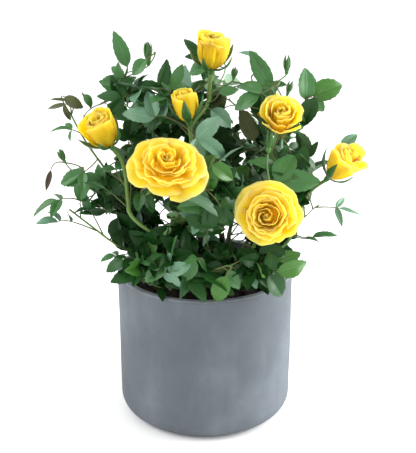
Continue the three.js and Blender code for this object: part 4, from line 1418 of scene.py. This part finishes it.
def leaflets_on(stalk, forward, facing, size, pairs, kept_in, random):
    """Place, direction, upward normal and length of each leaflet of a leaf: one at the end of its stalk,
    and smaller ones in pairs that spread from its sides. Those that are kept in are looser. A leaflet is
    left off if its foot, middle, tip or sides would cover a flower or run into the pot or, where it is
    kept in, shut a window or stand far out of the crown."""
    sideways = unit(np.cross(forward, facing))
    sockets = [(stalk[-1], forward, size)]
    first_pair, shrink = PAIR_SIZES
    for pair in range(pairs):
        place = stalk[-2 - PAIR_EVERY * pair]
        for sign in (-1, 1):
            aim = unit(PAIR_FORWARD * forward + sign * sideways + 0.15 * random.normal(size=3))
            sockets.append((place, aim, size * (first_pair - shrink * pair) * random.uniform(0.88, 1.08)))
    leaflets = []
    for place, aim, reach in sockets:
        tilt = unit(facing + (0.30 if kept_in else 0.14) * random.normal(size=3))
        normal = unit(tilt - (tilt @ aim) * aim)
        side = np.cross(aim, normal)
        ahead, aside = np.array(((0, 0.5, 1, 0.5, 0.5), (0, 0, 0, 0.3, -0.3)))[..., None] * reach
        test = place + ahead * aim + aside * side
        if hides_flower(test).any() or meets_pot(test).any():
            continue
        if kept_in and (shuts_window(test).any() or strays(test[1:])):
            continue
        leaflets.append((place, aim, normal, reach))
    return leaflets


def outer_leaves(random):
    """The leaves that stand out of the crown, one to each row of their table, except where its end leaflet
    would cover a flower. Its stalk comes off wood at about a stalk's length, or off a new twig, and
    arrives along its end leaflet. Yields each leaf's stalk, leaflets, tone and relative width."""
    for node, shares, way, size, width, pairs, to_front, tone in OUTER_LEAVES:
        way = unit(np.array(way))
        base = share_place(node, shares) - way * size
        facing = unit(lerp(UP, LIGHT_WAY, to_front) + 0.2 * random.normal(size=3))
        if hides_flower(np.array([base, base + 0.5 * size * way])).any():
            continue
        if np.linalg.norm(base - wood[:, :3], axis=1).min() > LONGEST_REACH:
            add_twig(base - (8 + 7 * pairs) * mm * way, way, random)
        off = base - wood[:, :3]
        reach = np.linalg.norm(off, axis=1)
        foot = wood[(np.abs(reach - (10 + 8 * pairs) * mm) - 0.3 * off @ way).argmin(), :3]
        stalk = stalk_line(foot, base - 0.5 * way * np.linalg.norm(base - foot), base)
        yield stalk, leaflets_on(stalk, way, facing, size, pairs, False, random), tone, width


def inner_leaves(random):
    """The other leaves: to each tip place one from wood at about a leaf's length from it, or from a new
    side twig where there is none. Wood costs more where the leaf would turn back along it, grow inwards
    or join others. The stalk bows up, and the blade faces the light, the sky and outwards."""
    used = np.zeros(len(wood))
    for spot, outward, owner, layer in tip_places(random):
        out = unit(outward + 0.8 * unit(spot - CROWN_CENTRE))
        _, scale, (to_light, to_sky, to_side), _ = HABITS.get(owner, USUAL_HABIT)
        length = LEAF_LENGTH * (0.8 if layer else 1.0) * random.uniform(*LENGTH_ODDS)
        off = spot - wood[:, :3]
        reach = np.linalg.norm(off, axis=1)
        rise = (off * wood[:, 3:6]).sum(1) / np.maximum(reach, 1e-6)
        lead = off @ out / np.maximum(reach, 1e-6)
        cost = np.abs(reach - length) + TURN_BACK_COST * np.maximum(0, 0.25 - rise) + CROWDED_COST * used
        cost += INWARD_COST * np.maximum(0, 0.6 - lead) + random.uniform(0, CHANCE_COST, len(cost))
        shortest, longest = (limit * length for limit in LENGTH_LIMITS)
        cost[(reach < shortest) | (reach > longest)] = RULED_OUT
        if cost.min() > DEAR_WOOD:
            nearest = wood[np.linalg.norm(off, axis=1).argmin()]
            back = unit(unit(nearest[:3] - spot) - 0.7 * out + 0.15 * random.normal(size=3))
            add_twig(spot + back * length, unit(-back + 0.3 * UP), random)
            used = np.append(used, np.zeros(TWIG_POINTS))
            pick = len(wood) - 1
        else:
            pick = cost.argmin()
        foot, way = wood[pick, :3], wood[pick, 3:6]
        length = np.linalg.norm(spot - foot)
        middle = (foot + spot) / 2 + (0.10 * UP + 0.06 * random.normal(size=3) + 0.08 * way) * length
        end = lerp(foot, spot, STALK_SHARE)
        stalk = stalk_line(foot, lerp(middle, end, 0.3), end)
        if spot[1] > BACK_OF_CROWN:
            to_light, to_side = 0, to_light + to_side
        facing = unit(to_light * LIGHT_WAY + to_sky * UP + to_side * out + 0.45 * random.normal(size=3))
        pairs = 2 if random.random() < 0.7 else 1
        size = scale * length * (0.44 if pairs == 2 else 0.48) * random.uniform(0.8, 1.25)
        leaflets = leaflets_on(stalk, unit(spot - end), facing, size, pairs, True, random)
        if len(leaflets) < 2:
            continue
        used[max(0, pick - 1):pick + 2] += 1
        yield stalk, leaflets, tone_of(spot, owner, layer, random), 1.0


def dress_crown():
    """Twigs, leaf stalks, and the leaflets of each tone, each as one piece."""
    leaves = list(outer_leaves(np.random.default_rng(3))) + list(inner_leaves(np.random.default_rng(2)))
    twig_lines, twig_radii = (np.array(part) for part in zip(*twigs))
    twig_tubes = tubes(twig_lines, twig_radii, TWIG_SIDES)
    place_piece(make_piece("twigs", *twig_tubes, [bark("twig_bark", *TWIG_GREENS)]), "cane")
    stalks = np.array([stalk for stalk, *_ in leaves])
    stalk_radii = np.tile(np.linspace(*STALK_RADII, STALK_POINTS), (len(stalks), 1))
    stalk_material = mottled("leaf_stalk", *STALK_GREENS, 120.0, 0.5)
    stalk_tubes = tubes(stalks, stalk_radii, STALK_SIDES)
    place_piece(make_piece("leaf_stalks", *stalk_tubes, [stalk_material]), "leaf")
    # The first piece of leaflets stands for every mass of leaves
    names = sorted(masses)
    random = np.random.default_rng(12)
    for tone, (*greens, shine) in TONES.items():
        facts = [(*leaflet, width) for _, leaflets, leaf_tone, width in leaves if leaf_tone == tone
                 for leaflet in leaflets]
        bases, ways, normals, lengths, widths = (np.array(part) for part in zip(*facts))
        count = len(facts)
        widths *= LEAFLET_WIDTH * random.uniform(0.85, 1.12, count)
        points, pattern = blades(bases, ways, normals, lengths, random.uniform(0.15, 0.9, count),
                                 random.normal(0, 0.25, count), random.uniform(0.02, 0.55, count),
                                 widths, LEAFLET_TEETH)
        materials = [leaf_material(f"leaf_{tone}", face, greens, shine) for face in ("top", "under")]
        make_blades(f"leaflets_{tone}", points, pattern, materials, *names)
        names = ()


dress_crown()
